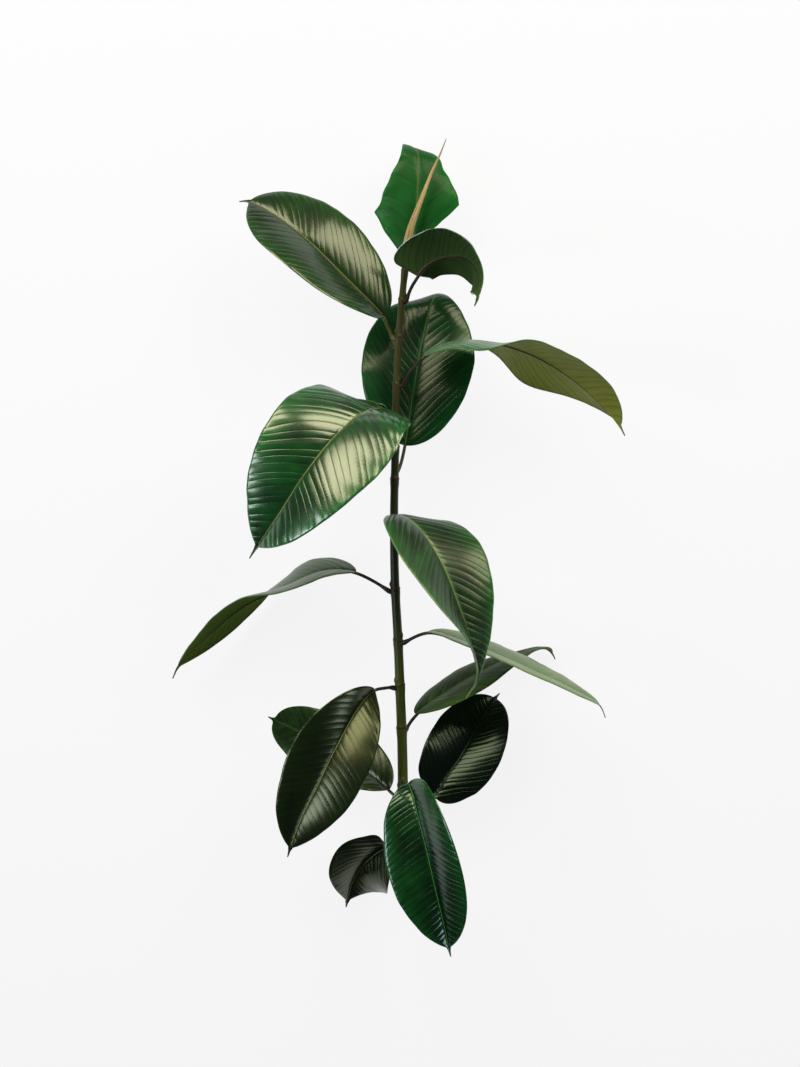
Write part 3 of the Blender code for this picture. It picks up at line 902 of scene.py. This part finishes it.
@dataclass(frozen=True)
class LeafSkin:
    """The materials of one leaf, made from its finish. Sizes and depths are in millimetres. The
    bands run out over a half from 0 at the midrib to 1 at the margin, or down the leaf from 0 at
    the blade's foot to 1 at its tip, or over a pattern's own values, and pale_top from -1 at the
    stalk's lower side to 1 at its top."""

    name: str
    finish: BladeFinish
    relief: float
    vein_narrowness: float = 8.0
    vein_tint: float = 0.14
    lively_out: Band = Band(0.45, 1.0)
    cloud_size: float = 28.0
    lively_clouds: Band = Band(0.3, 0.75, high=0.6)
    streaks_each_vein: float = 1.3
    streaks_out: float = 1.2
    streaked: Band = Band(0.3, 0.7, low=0.35)
    streak_depth: float = 0.08
    beside_rib: Band = Band(0.015, 0.07, 0.5, 0.0)
    rim: Band = Band(0.95, 0.99, high=0.5)
    dry_drip: Band = Band(1.01, 1.05)
    speck_size: float = 0.9
    speck_height: float = 0.012
    gloss_spread: tuple[float, float] = (-0.03, 0.05)
    relief_in_bump: float = 0.5
    wax_roughness: float = 0.16
    under_vein_narrowness: float = 5.0
    under_vein_tint: float = 0.5
    under_clouds: Band = Band(0.0, 1.0, 0.8, 1.2)
    net_size: float = 1.6
    net_lines: Band = Band(0.0, 0.2, 0.15, 0.0)
    under_depth: float = 0.25
    pale_top: Band = Band(-0.1, 0.35)
    rib_begins: Band = Band(-0.08, 0.04)
    stalk_grain: float = 1.2
    stalk_depth: float = 0.2

    def crease(self, tree: Tree, power: float) -> tuple[Socket, Socket, Socket]:
        """A pattern that follows the side veins: 1 in the crease of each, 0 between them.

        Args:
            tree: the material's tree.
            power: how narrow the crease is.

        Returns:
            The crease, the distance from the midrib as a share of the half, and the share of
            the blade's length.
        """
        turn, out, down = carried(tree, "blade")
        part = add_node(tree, "ShaderNodeMath", {0: turn}, operation="FRACT")
        centred = add_node(
            tree, "ShaderNodeMath", {0: part.outputs[0]}, {1: 2.0, 2: -1.0}, operation="MULTIPLY_ADD",
        )
        size = add_node(tree, "ShaderNodeMath", {0: centred.outputs[0]}, operation="ABSOLUTE")
        narrow = add_node(tree, "ShaderNodeMath", {0: size.outputs[0]}, {1: power}, operation="POWER")
        distance = add_node(tree, "ShaderNodeMath", {0: out}, operation="ABSOLUTE")
        return narrow.outputs[0], distance.outputs[0], down

    def streaks(self, tree: Tree) -> Socket:
        """Irregular streaks that run along the side veins, as the skin is drawn between them.

        Args:
            tree: the material's tree.

        Returns:
            The output that gives the pattern, from 0 to 1.
        """
        place = add_node(tree, "ShaderNodeAttribute", attribute_name="blade")
        drawn = add_node(
            tree, "ShaderNodeMapping", {"Vector": place.outputs["Vector"]},
            {"Scale": (self.streaks_each_vein, self.streaks_out, 0.0)},
        )
        noise = add_node(
            tree, "ShaderNodeTexNoise", {"Vector": drawn.outputs[0]},
            {"Scale": 1.0, "Detail": 1.0, "Roughness": 0.6},
        )
        return noise.outputs["Fac"]

    def upper_colour(self, tree: Tree, crease: Socket, out: Socket, down: Socket, streak: Socket) -> Socket:
        """The colour of the upper face: deep green, livelier in clouds and towards the margin,
        paler at the veins, beside the midrib and along the rim, and dry at the drip tip.

        Args:
            tree: the material's tree.
            crease: 1 at each side vein, 0 between them.
            out: the distance from the midrib, as a share of the half.
            down: the share of the blade's length.
            streak: the pattern of streaks along the veins.

        Returns:
            The output that gives the colour.
        """
        wide = add_node(tree, "ShaderNodeMapRange", {"Value": out}, self.lively_out.values())
        clouds = grain(tree, self.cloud_size, detail=2.0, roughness=0.55)
        patch = add_node(tree, "ShaderNodeMapRange", {"Value": clouds}, self.lively_clouds.values())
        spread = add_node(
            tree, "ShaderNodeMath", {0: wide.outputs[0], 1: patch.outputs[0]}, operation="MAXIMUM",
        )
        band = add_node(tree, "ShaderNodeMapRange", {"Value": streak}, self.streaked.values())
        green = add_node(
            tree, "ShaderNodeMath", {0: spread.outputs[0], 1: band.outputs[0]}, operation="MULTIPLY",
        )
        tissue = add_node(
            tree, "ShaderNodeMix", {"Factor": green.outputs[0]},
            {"A": linear(self.finish.deep), "B": linear(self.finish.lively)}, data_type="RGBA",
        )
        line = add_node(tree, "ShaderNodeMath", {0: crease}, {1: self.vein_tint}, operation="MULTIPLY")
        near = add_node(tree, "ShaderNodeMapRange", {"Value": out}, self.beside_rib.values())
        rim = add_node(tree, "ShaderNodeMapRange", {"Value": out}, self.rim.values())
        dry = add_node(tree, "ShaderNodeMapRange", {"Value": down}, self.dry_drip.values())
        vein, drip = linear(self.finish.vein), linear(self.finish.drip)
        colour = tissue.outputs["Result"]
        for shown, paint in ((line, vein), (near, vein), (rim, vein), (dry, drip)):
            coat = add_node(
                tree, "ShaderNodeMix", {"Factor": shown.outputs[0], "A": colour}, {"B": paint},
                data_type="RGBA",
            )
            colour = coat.outputs["Result"]
        return colour

    def upper(self) -> bpy.types.Material:
        """The upper face: a waxy cuticle, smooth to the touch, so it mirrors the room softly. The
        tissue bulges a little between the side veins, which breaks the reflection into bands.

        Returns:
            The material.
        """
        material, tree, shader = new_material(self.name + "_waxy_upper_face")
        crease, out, down = self.crease(tree, self.vein_narrowness)
        streak = self.streaks(tree)
        colour = self.upper_colour(tree, crease, out, down, streak)
        specks = grain(tree, self.speck_size, detail=3.0, roughness=0.55)
        least, most = (self.finish.gloss + more for more in self.gloss_spread)
        rough = add_node(
            tree, "ShaderNodeMapRange", {"Value": specks}, Band(0.0, 1.0, least, most).values(),
        )
        tree.links.new(rough.outputs[0], shader.inputs["Roughness"])
        sunk = add_node(tree, "ShaderNodeMath", {0: crease}, {1: -1.0}, operation="MULTIPLY")
        height = add_node(
            tree, "ShaderNodeMath", {0: specks, 2: sunk.outputs[0]}, {1: self.speck_height},
            operation="MULTIPLY_ADD",
        )
        bump = add_node(
            tree, "ShaderNodeBump", {"Height": height.outputs[0]},
            {"Strength": 1.0, "Distance": self.relief_in_bump * self.relief * MM},
        )
        drawn = add_node(
            tree, "ShaderNodeBump", {"Height": streak, "Normal": bump.outputs[0]},
            {"Strength": 1.0, "Distance": self.streak_depth * MM},
        )
        even = {
            "IOR": 1.55, "Specular IOR Level": self.finish.shine,
            "Specular Tint": linear(self.finish.glint), "Coat Weight": self.finish.wax,
            "Coat Roughness": self.wax_roughness,
        }
        finish_shader(tree, shader, colour, drawn.outputs[0], even)
        return material

    def under(self) -> bpy.types.Material:
        """The underside: the same leathery tissue with no wax, paler and dull, with its side veins
        raised and a fine net between them.

        Returns:
            The material.
        """
        material, tree, shader = new_material(self.name + "_matt_underside")
        crease, _, _ = self.crease(tree, self.under_vein_narrowness)
        clouds = grain(tree, self.cloud_size, detail=2.0, roughness=0.55)
        patch = add_node(tree, "ShaderNodeMapRange", {"Value": clouds}, self.under_clouds.values())
        tissue = add_node(
            tree, "ShaderNodeHueSaturation", {"Value": patch.outputs[0]},
            {"Color": linear(self.finish.under)},
        )
        line = add_node(tree, "ShaderNodeMath", {0: crease}, {1: self.under_vein_tint}, operation="MULTIPLY")
        veined = add_node(
            tree, "ShaderNodeMix", {"Factor": line.outputs[0], "A": tissue.outputs[0]},
            {"B": linear(self.finish.under_vein)}, data_type="RGBA",
        )
        place = add_node(tree, "ShaderNodeTexCoord")
        net = add_node(
            tree, "ShaderNodeTexVoronoi", {"Vector": place.outputs["Object"]},
            {"Scale": 1 / (self.net_size * MM)}, feature="DISTANCE_TO_EDGE",
        )
        fine = add_node(
            tree, "ShaderNodeMapRange", {"Value": net.outputs["Distance"]}, self.net_lines.values(),
        )
        height = add_node(tree, "ShaderNodeMath", {0: crease, 1: fine.outputs[0]}, operation="ADD")
        bump = add_node(
            tree, "ShaderNodeBump", {"Height": height.outputs[0]},
            {"Strength": 0.7, "Distance": self.under_depth * MM},
        )
        even = {
            "IOR": 1.45, "Roughness": self.finish.under_gloss,
            "Specular IOR Level": self.finish.under_shine,
        }
        finish_shader(tree, shader, veined.outputs["Result"], bump.outputs[0], even)
        return material

    def stalk(self) -> bpy.types.Material:
        """The petiole and the midrib: smooth green bark, browned where light reaches the petiole,
        and pale along the top of the midrib.

        Returns:
            The material.
        """
        material, tree, shader = new_material(self.name + "_stalk_skin")
        down, raised, _ = carried(tree, "stalk")
        top = add_node(tree, "ShaderNodeMapRange", {"Value": raised}, self.pale_top.values())
        rib = add_node(
            tree, "ShaderNodeMix", {"Factor": top.outputs[0]},
            {"A": linear(self.finish.rib_under), "B": linear(self.finish.rib)}, data_type="RGBA",
        )
        blade = add_node(tree, "ShaderNodeMapRange", {"Value": down}, self.rib_begins.values())
        skin = add_node(
            tree, "ShaderNodeMix", {"Factor": blade.outputs[0], "B": rib.outputs["Result"]},
            {"A": linear(self.finish.petiole)}, data_type="RGBA",
        )
        fibres = grain(tree, self.stalk_grain, detail=3.0, roughness=0.55)
        bump = add_node(
            tree, "ShaderNodeBump", {"Height": fibres}, {"Strength": 0.4, "Distance": self.stalk_depth * MM},
        )
        even = {"Roughness": 0.42, "Specular IOR Level": 0.3}
        finish_shader(tree, shader, skin.outputs["Result"], bump.outputs[0], even)
        return material


@dataclass
class Leaf:
    """One leaf: the blade and the stalk, whose upper end is the midrib.

    The odd factors of the leaf's number, and of the waves along a vein, only keep the leaves and
    the veins out of step with one another. The count of veins starts high, so that it is above 0
    all over the blade."""

    shape: LeafShape
    stem: Stem
    number: int
    blade_thickness: float = 0.75
    clearance: float = 0.05
    row_apart: float = 1.1
    row_easing: float = 0.55
    half_columns: int = 22
    column_easing: float = 0.45
    half_middle: float = 0.45
    foot_reach: float = 8.0
    foot_half_widths: tuple[float, float] = (0.8, 2.5)
    drip_widths: tuple = ((0.0, 5.0), (0.35, 2.6), (1.0, 0.9))
    dome_degrees: float = 24.0
    trough_degrees: float = 14.0
    trough_reach: float = 2.6
    roll_degrees: float = 38.0
    roll_reach: float = 2.6
    roll_full_width: float = 12.0
    vein_bend: float = 0.25
    vein_count_from: float = 40.0
    wander: float = 0.22
    wander_length: float = 13.0
    quick_wander: float = 0.14
    relief_fades: tuple[float, float] = (0.1, 0.12)
    relief_full_width: float = 20.0
    wave_length: float = 42.0
    short_wave_length: float = 19.0
    wave_full_width: float = 30.0
    root_gap: float = 0.9
    root_depth: float = 1.2
    stub: float = 3.5
    foot_radius: float = 2.7
    petiole_radius: float = 1.65
    rib_foot_radius: float = 1.6
    rib_tip_radius: float = 0.4
    rib_proud: float = 0.3
    rib_end: float = 0.985
    rib_taper: float = 0.8
    neck: tuple[float, float] = (-0.25, 0.1)
    petiole_rings: int = 25
    rib_ring_apart: float = 2.0
    stalk_sides: int = 20

    def __post_init__(self) -> None:
        """Lays the route of the leaf from the stem to the end of its drip tip."""
        shape = self.shape
        line = self.stem.route
        centre = line.places(np.array([line.length_at_y(shape.node)]))[0]
        root = centre + shape.away * (self.stem.radius_at(shape.node) + self.root_gap)
        rising = unit(shape.away + np.array([0.0, shape.rise, 0.0]))
        places = [place for place, _ in shape.midrib]
        self.route = Route([root, root + rising * self.stub, *shape.petiole, *places, shape.end])
        first = 2 + len(shape.petiole)
        self.knots = self.route.knots[first:first + len(places)]
        self.facings = unit(np.array([look for _, look in shape.midrib], dtype=float))
        self.foot = float(self.knots[0])
        self.tip = float(self.knots[-1])

    def face_at(self, lengths: np.ndarray) -> np.ndarray:
        """The way that the upper face looks at these lengths, square to the midrib."""
        looks = curve_through(self.knots, self.facings, lengths)
        return across(self.route.headings(lengths), looks)

    def half_widths(self, lengths: np.ndarray) -> np.ndarray:
        """Half of the blade's width, with the body flowing into the drip tip.

        Args:
            lengths: lengths along the leaf.

        Returns:
            The half width at each.
        """
        outline = self.shape.outline
        share = np.clip((lengths - self.foot) / (self.tip - self.foot), 0.0, 1.0)
        down = np.where(
            share < outline.broadest, 1 - share / outline.broadest,
            (share - outline.broadest) / (1 - outline.broadest),
        )
        power = np.where(share < outline.broadest, outline.foot, outline.tip)
        body = outline.width / 2 * np.maximum(1 - down**outline.roundness, 0.0) ** power
        past = np.clip((lengths - self.tip) / (self.route.whole - self.tip), 0.0, 1.0)
        drip = np.interp(past, *zip(*self.drip_widths)) / 2
        near_foot = smooth((lengths - self.foot) / self.foot_reach)
        drip = np.where(share < 0.5, mix(*self.foot_half_widths, near_foot), drip)
        return (body**4 + drip**4) ** 0.25

    def rows(self) -> np.ndarray:
        """Lengths along the leaf for the rows of the blade, closer together at both ends."""
        span = self.route.whole - self.foot
        return self.foot + span * eased(int(span / self.row_apart), self.row_easing)

    def phase(self, lengths: np.ndarray, width: np.ndarray, share: np.ndarray, side: Side) -> np.ndarray:
        """The number of side veins passed, counted along the midrib from the foot, with an even
        wander, so that no two bands are alike.

        Args:
            lengths: the rows' lengths along the leaf.
            width: the half width of each row.
            share: the columns' shares of the half width.
            side: the half.

        Returns:
            The number at each place, rows by columns.
        """
        veins = self.shape.veins
        along = (lengths - self.foot)[:, None]
        out = width[:, None] * share[None, :]
        lean = veins.lean * (1 + self.vein_bend * share[None, :])
        turn = (along - out * lean) / veins.apart + 0.5 * (side is Side.RIGHT)
        slow = self.wander * np.sin(along / self.wander_length + 2.1 * self.number)
        quick = self.quick_wander * np.sin(turn * 2.3 + self.number)
        return turn + (slow + quick) + self.vein_count_from

    def slopes(self, width: np.ndarray, share: np.ndarray, half: Half, down: np.ndarray) -> np.ndarray:
        """How steeply a half rises, from each column to the next: as its shape says, domed, with a
        trough along the midrib and a margin that rolls under.

        Args:
            width: the half width of each row.
            share: the columns' shares of the half width.
            half: the half's shape.
            down: the share of the blade's length at each row.

        Returns:
            The slopes in radians, rows by steps between columns.
        """
        between = (share[1:] + share[:-1]) / 2
        distance = width[:, None] * between[None, :]
        slopes = curve_through([0.0, self.half_middle, 1.0], [half.foot, half.middle, half.tip], down)
        angle = slopes + half.curl * between[None, :] + self.dome_degrees * (0.5 - between[None, :])
        angle = angle + self.trough_degrees * np.exp(-((distance / self.trough_reach) ** 2))
        to_margin = width[:, None] - distance
        full = np.clip(width[:, None] / self.roll_full_width, 0.0, 1.0)
        roll = smooth(1 - to_margin / self.roll_reach) * full
        return np.radians(angle - self.roll_degrees * roll)

    def half_surface(self, lengths: np.ndarray, side: Side) -> tuple[np.ndarray, np.ndarray]:
        """One half of the upper face, from the midrib out.

        Args:
            lengths: the rows' lengths along the leaf.
            side: the half.

        Returns:
            The places, rows by columns by 3, and what the finish reads at each: the count of
            veins, the signed share of the half width and the share of the blade's length.
        """
        half = self.shape.left if side is Side.LEFT else self.shape.right
        share = eased(self.half_columns + 1, self.column_easing)
        width = self.half_widths(lengths)
        reach = (lengths - self.foot) / (self.tip - self.foot)
        down = np.clip(reach, 0.0, 1.0)
        angle = self.slopes(width, share, half, down)
        step = width[:, None] * np.diff(share)[None, :]
        nothing = np.zeros((len(lengths), 1))
        out = np.concatenate([nothing, np.cumsum(np.cos(angle) * step, axis=1)], axis=1)
        up = np.concatenate([nothing, np.cumsum(np.sin(angle) * step, axis=1)], axis=1)
        tilt = np.concatenate([angle, angle[:, -1:]], axis=1)

        centre = self.route.places(lengths)[:, None, :]
        along = self.route.headings(lengths)[:, None, :]
        face = self.face_at(lengths)[:, None, :]
        sideways = np.cross(along, face)
        drawn = mix(half.drawn, 0.0, down)[:, None] * share[None, :] ** 2
        normal = face * np.cos(tilt)[..., None] - sideways * (side.value * np.sin(tilt))[..., None]
        turn = self.phase(lengths, width, share, side)
        lift = self.relief(turn, share, width) + self.wave(lengths, share, width, side)
        places = (
            centre + sideways * (side.value * out)[..., None] + face * up[..., None]
            + along * drawn[..., None] + normal * lift[..., None]
        )
        shares = side.value * np.broadcast_to(share, turn.shape)
        reads = np.stack([turn, shares, np.repeat(reach[:, None], len(share), 1)], axis=-1)
        return places, reads

    def relief(self, turn: np.ndarray, share: np.ndarray, width: np.ndarray) -> np.ndarray:
        """How far the tissue bulges between its side veins, no two bands alike.

        Args:
            turn: the count of veins at each place.
            share: the columns' shares of the half width.
            width: the half width of each row.

        Returns:
            The height at each place, rows by columns.
        """
        pillow = -0.5 * np.cos(2 * np.pi * turn)
        vary = 0.8 + 0.3 * np.sin(1.7 * turn + self.number) + 0.2 * np.sin(0.61 * turn + 2 * share[None, :])
        fine = 0.1 * np.sin(2 * np.pi * 2.37 * turn + 1.3 * self.number)
        by_rib, by_margin = self.relief_fades
        fade = smooth(share / by_rib) * smooth((1 - share) / by_margin)
        broad = np.clip(width[:, None] / self.relief_full_width, 0.0, 1.0)
        return self.shape.veins.relief * (pillow * vary + fine) * fade[None, :] * broad

    def wave(self, lengths: np.ndarray, share: np.ndarray, width: np.ndarray, side: Side) -> np.ndarray:
        """The soft wave of the margin.

        Args:
            lengths: the rows' lengths along the leaf.
            share: the columns' shares of the half width.
            width: the half width of each row.
            side: the half.

        Returns:
            The height at each place, rows by columns.
        """
        start = 1.7 * self.number + 1.1 * side.value
        long_wave = np.sin(2 * np.pi * lengths / self.wave_length + start)
        short_wave = 0.5 * np.sin(2 * np.pi * lengths / self.short_wave_length - start)
        broad = np.clip(width / self.wave_full_width, 0.0, 1.0)
        return self.shape.wave * ((long_wave + short_wave) * broad)[:, None] * share[None, :] ** 3

    def build_blade(self) -> bpy.types.Object:
        """The blade, from its foot to the end of the drip tip.

        Returns:
            The blade's upper face, as a sheet.
        """
        lengths = self.rows()
        left, left_reads = self.half_surface(lengths, Side.LEFT)
        right, right_reads = self.half_surface(lengths, Side.RIGHT)
        places = np.concatenate([left[:, :0:-1], right], axis=1)
        reads = np.concatenate([left_reads[:, :0:-1], right_reads], axis=1)
        places[..., 2] = np.maximum(places[..., 2], self.blade_thickness + self.clearance)
        return placed_grid(self.shape.name + "_blade", places, {"blade": reads})

    def stalk_radii(self, share: np.ndarray) -> np.ndarray:
        """How thick the stalk is: swollen at its root, slim in the petiole, with a neck that flows
        into the midrib, which tapers to the tip.

        Args:
            share: from -1 at the root, over 0 at the blade's foot, to 1 at its tip.

        Returns:
            The radius at each.
        """
        bound = np.where(
            share < 0, mix(self.foot_radius, self.petiole_radius, smooth((share + 1) * 3)),
            mix(self.rib_foot_radius, self.rib_tip_radius, np.clip(share, 0, 1) ** self.rib_taper),
        )
        start, end = self.neck
        neck = smooth((share - start) / (end - start)) * (share < end)
        return np.where(share < 0, mix(bound, self.rib_foot_radius, neck), bound)

    def build_stalk(self) -> bpy.types.Object:
        """The petiole, and the midrib that it runs on as under the blade.

        Returns:
            The stalk, a closed tube.
        """
        petiole = np.linspace(0.0, self.foot, self.petiole_rings, endpoint=False)
        last = mix(self.foot, self.tip, self.rib_end)
        rib = np.linspace(self.foot, last, int((last - self.foot) / self.rib_ring_apart))
        lengths = np.concatenate([petiole, rib])
        along = self.route.headings(lengths)
        along[0] = self.shape.away
        face = np.empty_like(along)
        face[self.petiole_rings:] = self.face_at(rib)
        for k in reversed(range(self.petiole_rings)):
            face[k] = across(along[k], face[k + 1])
        share = np.concatenate([petiole / self.foot - 1, (rib - self.foot) / (self.tip - self.foot)])
        radius = self.stalk_radii(share)
        sunk = (radius - self.rib_proud) * smooth(share + 1)
        centre = self.route.places(lengths) - face * sunk[:, None]
        centre[0] -= self.shape.away * self.root_depth
        turns, out = spokes(along, face, self.stalk_sides)
        rings = centre[:, None] + out * radius[:, None, None]
        rings[..., 2] = np.maximum(rings[..., 2], self.clearance)
        raised = np.broadcast_to(np.sin(turns), rings.shape[:2])
        return rolled_tube(self.shape.name + "_stalk", rings, "stalk", share, raised)

    def build(self) -> None:
        """Builds the leaf's two pieces and dresses them."""
        skin = LeafSkin(self.shape.name, self.shape.finish, self.shape.veins.relief)
        blade = self.build_blade()
        show(blade, self.shape.slot, skin.upper(), skin.under())
        apply_solidify(blade, self.blade_thickness)
        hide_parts(self.shape.name)
        stalk = self.build_stalk()
        show(stalk, self.shape.slot, skin.stalk())
        LOG.info("%s: %d and %d faces", self.shape.name, len(blade.data.polygons), len(stalk.data.polygons))


@dataclass
class BudSheath:
    """The rolled sheath over the bud: a slim, long point, wrapped round on itself."""

    stem: Stem
    radius: float = 3.9
    tip_radius: float = 0.35
    belly: float = 0.08
    sides: int = 28
    rings: int = 90
    foot_depth: float = 0.4
    seam_depth: float = 0.35
    seam_width: float = 0.35
    seam_start: float = 0.2
    seam_turns: float = 0.35
    ridges: int = 9
    ridge_height: float = 0.06
    full_radius: float = 2.0
    rib_size: float = 0.9
    rib_stretch: float = 0.1
    rib_depth: float = 0.15
    foot: str = "#9F8C5C"
    middle: str = "#C0A87C"
    middle_at: float = 0.55
    tip: str = "#8E7C48"
    seam: str = "#6E5A34"

    def build(self) -> None:
        """Builds the sheath on the end of the stem and dresses it."""
        route = Route(SHEATH_ROUTE)
        share = np.linspace(0.0, 1.0, self.rings + 1)
        lengths = share * route.whole
        along = route.headings(lengths)
        line = self.stem.route
        along[0] = line.headings(np.array([line.whole]))[0]
        up = across(along, np.array([[0.0, 0.0, 1.0]]))
        turns, out = spokes(along, up, self.sides)
        thick = (1 - share) * (1 + self.belly * np.sin(np.pi * np.minimum(share * 3, 1.0)))
        radius = mix(self.tip_radius, self.radius, thick)[:, None]
        wound = 2 * np.pi * (self.seam_start + self.seam_turns * share[:, None])
        behind = (turns[None, :] - wound) % (2 * np.pi)
        full = np.clip(radius / self.full_radius, 0.0, 1.0)
        seam = np.exp(-((behind / self.seam_width) ** 2)) * full
        ridges = self.ridge_height * np.cos(turns * self.ridges)[None, :] * full
        rings = route.places(lengths)[:, None] + out * (radius - self.seam_depth * seam + ridges)[..., None]
        rings[0] -= along[0] * self.foot_depth
        piece = rolled_tube("bud_sheath_skin", rings, "sheath", share, seam)
        show(piece, Slot.SHEATH, self.skin())
        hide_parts("bud_sheath")
        LOG.info("bud sheath: %d faces", len(piece.data.polygons))

    def skin(self) -> bpy.types.Material:
        """A papery young sheath: tan, faintly ribbed, with a soft satin face.

        Returns:
            The material.
        """
        material, tree, shader = new_material("papery_bud_sheath")
        share, seam, _ = carried(tree, "sheath")
        ramp = add_node(tree, "ShaderNodeValToRGB", {0: share})
        elements = ramp.color_ramp.elements
        elements[0].color = linear(self.foot)
        elements[-1].color = linear(self.tip)
        elements.new(self.middle_at).color = linear(self.middle)
        dark = add_node(
            tree, "ShaderNodeMix", {"Factor": seam, "A": ramp.outputs["Color"]},
            {"B": linear(self.seam)}, data_type="RGBA",
        )
        ribs = grain(tree, self.rib_size, detail=3.0, lengthwise=self.rib_stretch)
        bump = add_node(
            tree, "ShaderNodeBump", {"Height": ribs}, {"Strength": 0.5, "Distance": self.rib_depth * MM},
        )
        even = {"Roughness": 0.42, "Subsurface Weight": 0.1, "Subsurface Scale": 2 * MM}
        finish_shader(tree, shader, dark.outputs["Result"], bump.outputs[0], even)
        return material


@dataclass(frozen=True)
class Panel:
    """A soft panel of light: its bearing, with 0 at +x and 90 at +y, its angle from straight
    overhead, both in degrees, its size and distance in metres, its brightness and its colour."""

    name: str
    bearing: float
    from_top: float
    wide: float
    high: float
    brightness: float
    colour: str
    far: float = 2.4


@dataclass
class Studio:
    """A pale table, soft studio light and the camera, which looks straight down on the branch.
    Its sizes are in metres, apart from the sensor's millimetres. The colours of the glow, the
    room and the wall are linear, and the table glows more towards +y."""

    frame_high: float = 1.067
    camera_over: Numbers = (0.005, 0.01225, 0.062)
    camera_far: float = 2.6
    sensor: float = 36.0
    floor_size: float = 30.0
    floor_colour: str = "#4C4F54"
    floor_roughness: float = 0.9
    floor_shine: float = 0.1
    glow_colour: Numbers = (1.0, 0.995, 1.005)
    glow: Band = Band(-0.55, 0.55, 0.855, 0.905)
    wall_towards: Numbers = (0.3, 0.9, 0.25)
    wall_edge: Band = Band(0.25, 0.95)
    room_light: Numbers = (0.03, 0.032, 0.036)
    wall_light: Numbers = (0.12, 0.12, 0.11)
    panels: tuple[Panel, ...] = (
        Panel("softbox_right", 52, 50, 1.3, 1.1, 6.5, "#FFF3D2"),
        Panel("softbox_head", 118, 46, 1.4, 1.1, 6.5, "#FFF3D2"),
        Panel("window_left", 188, 48, 0.8, 1.0, 7.0, "#EEF5FF"),
        Panel("window_low", 320, 66, 0.8, 0.7, 5.0, "#E4EFFF"),
    )

    def build(self) -> None:
        """Sets the table, the light and the camera."""
        self.lay_floor()
        for panel in self.panels:
            self.light_area(panel)
        self.set_world()
        self.set_camera()

    def lay_floor(self) -> None:
        """The table top: a matt white board that is lit from behind a little, so that the shadows
        on it stay faint."""
        deselect_all()
        bpy.ops.mesh.primitive_plane_add(size=self.floor_size, location=(0, 0, 0))
        floor = bpy.context.object
        floor.name = "table_top"
        material, tree, shader = new_material("matt_white_board")
        shader.inputs["Base Color"].default_value = linear(self.floor_colour)
        shader.inputs["Roughness"].default_value = self.floor_roughness
        shader.inputs["Specular IOR Level"].default_value = self.floor_shine
        shader.inputs["Emission Color"].default_value = (*self.glow_colour, 1.0)
        place = add_node(tree, "ShaderNodeNewGeometry")
        along = add_node(tree, "ShaderNodeSeparateXYZ", {0: place.outputs["Position"]})
        glow = add_node(tree, "ShaderNodeMapRange", {"Value": along.outputs["Y"]}, self.glow.values())
        tree.links.new(glow.outputs[0], shader.inputs["Emission Strength"])
        floor.data.materials.append(material)

    def light_area(self, panel: Panel) -> None:
        """Adds one soft panel of light that faces the branch.

        Args:
            panel: where it stands, and its size, colour and brightness.
        """
        bearing, height = math.radians(panel.bearing), math.radians(panel.from_top)
        towards = np.array([
            math.sin(height) * math.cos(bearing), math.sin(height) * math.sin(bearing), math.cos(height),
        ])
        deselect_all()
        bpy.ops.object.light_add(type="AREA", location=tuple(towards * panel.far))
        light = bpy.context.object
        light.name = panel.name
        light.data.shape = "RECTANGLE"
        light.data.size = panel.wide
        light.data.size_y = panel.high
        light.data.energy = panel.brightness * math.pi * panel.wide * panel.high
        light.data.color = linear(panel.colour)[:3]
        light.rotation_euler = (height, 0.0, bearing + math.pi / 2)

    def set_world(self) -> None:
        """A dim room whose far side, beyond the head of the branch, is one broad bright wall."""
        world = bpy.data.worlds.new("studio_room")
        bpy.context.scene.world = world
        world.use_nodes = True
        tree = world.node_tree
        background = tree.nodes["Background"]
        coordinates = add_node(tree, "ShaderNodeTexCoord")
        towards = unit(np.array(self.wall_towards))
        reach = add_node(
            tree, "ShaderNodeVectorMath", {0: coordinates.outputs["Generated"]}, {1: tuple(towards)},
            operation="DOT_PRODUCT",
        )
        soft = add_node(
            tree, "ShaderNodeMapRange", {"Value": reach.outputs["Value"]}, self.wall_edge.values(),
            interpolation_type="SMOOTHSTEP",
        )
        light = add_node(
            tree, "ShaderNodeMix", {"Factor": soft.outputs[0]},
            {"A": (*self.room_light, 1.0), "B": (*self.wall_light, 1.0)}, data_type="RGBA",
        )
        tree.links.new(light.outputs["Result"], background.inputs["Color"])
        background.inputs["Strength"].default_value = 1.0

    def set_camera(self) -> None:
        """The camera, whose frame is the photograph's at the height of the stem."""
        x, y, z = self.camera_over
        deselect_all()
        bpy.ops.object.camera_add(location=(x, y, z + self.camera_far), rotation=(0.0, 0.0, 0.0))
        camera = bpy.context.object
        camera.name = "camera"
        camera.data.sensor_fit = "VERTICAL"
        camera.data.sensor_height = self.sensor
        camera.data.lens = self.sensor * self.camera_far / self.frame_high
        bpy.context.scene.camera = camera
        bpy.context.scene.view_settings.view_transform = "Standard"


def main() -> None:
    """Builds the branch piece by piece, then the studio round it."""
    logging.basicConfig(level=logging.INFO, format="%(name)s %(message)s")
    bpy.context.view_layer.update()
    stem = Stem()
    stem.build()
    BudSheath(stem).build()
    for number, shape in enumerate(LEAVES):
        Leaf(shape, stem, number).build()
    Studio().build()


if __name__ == "__main__":
    main()
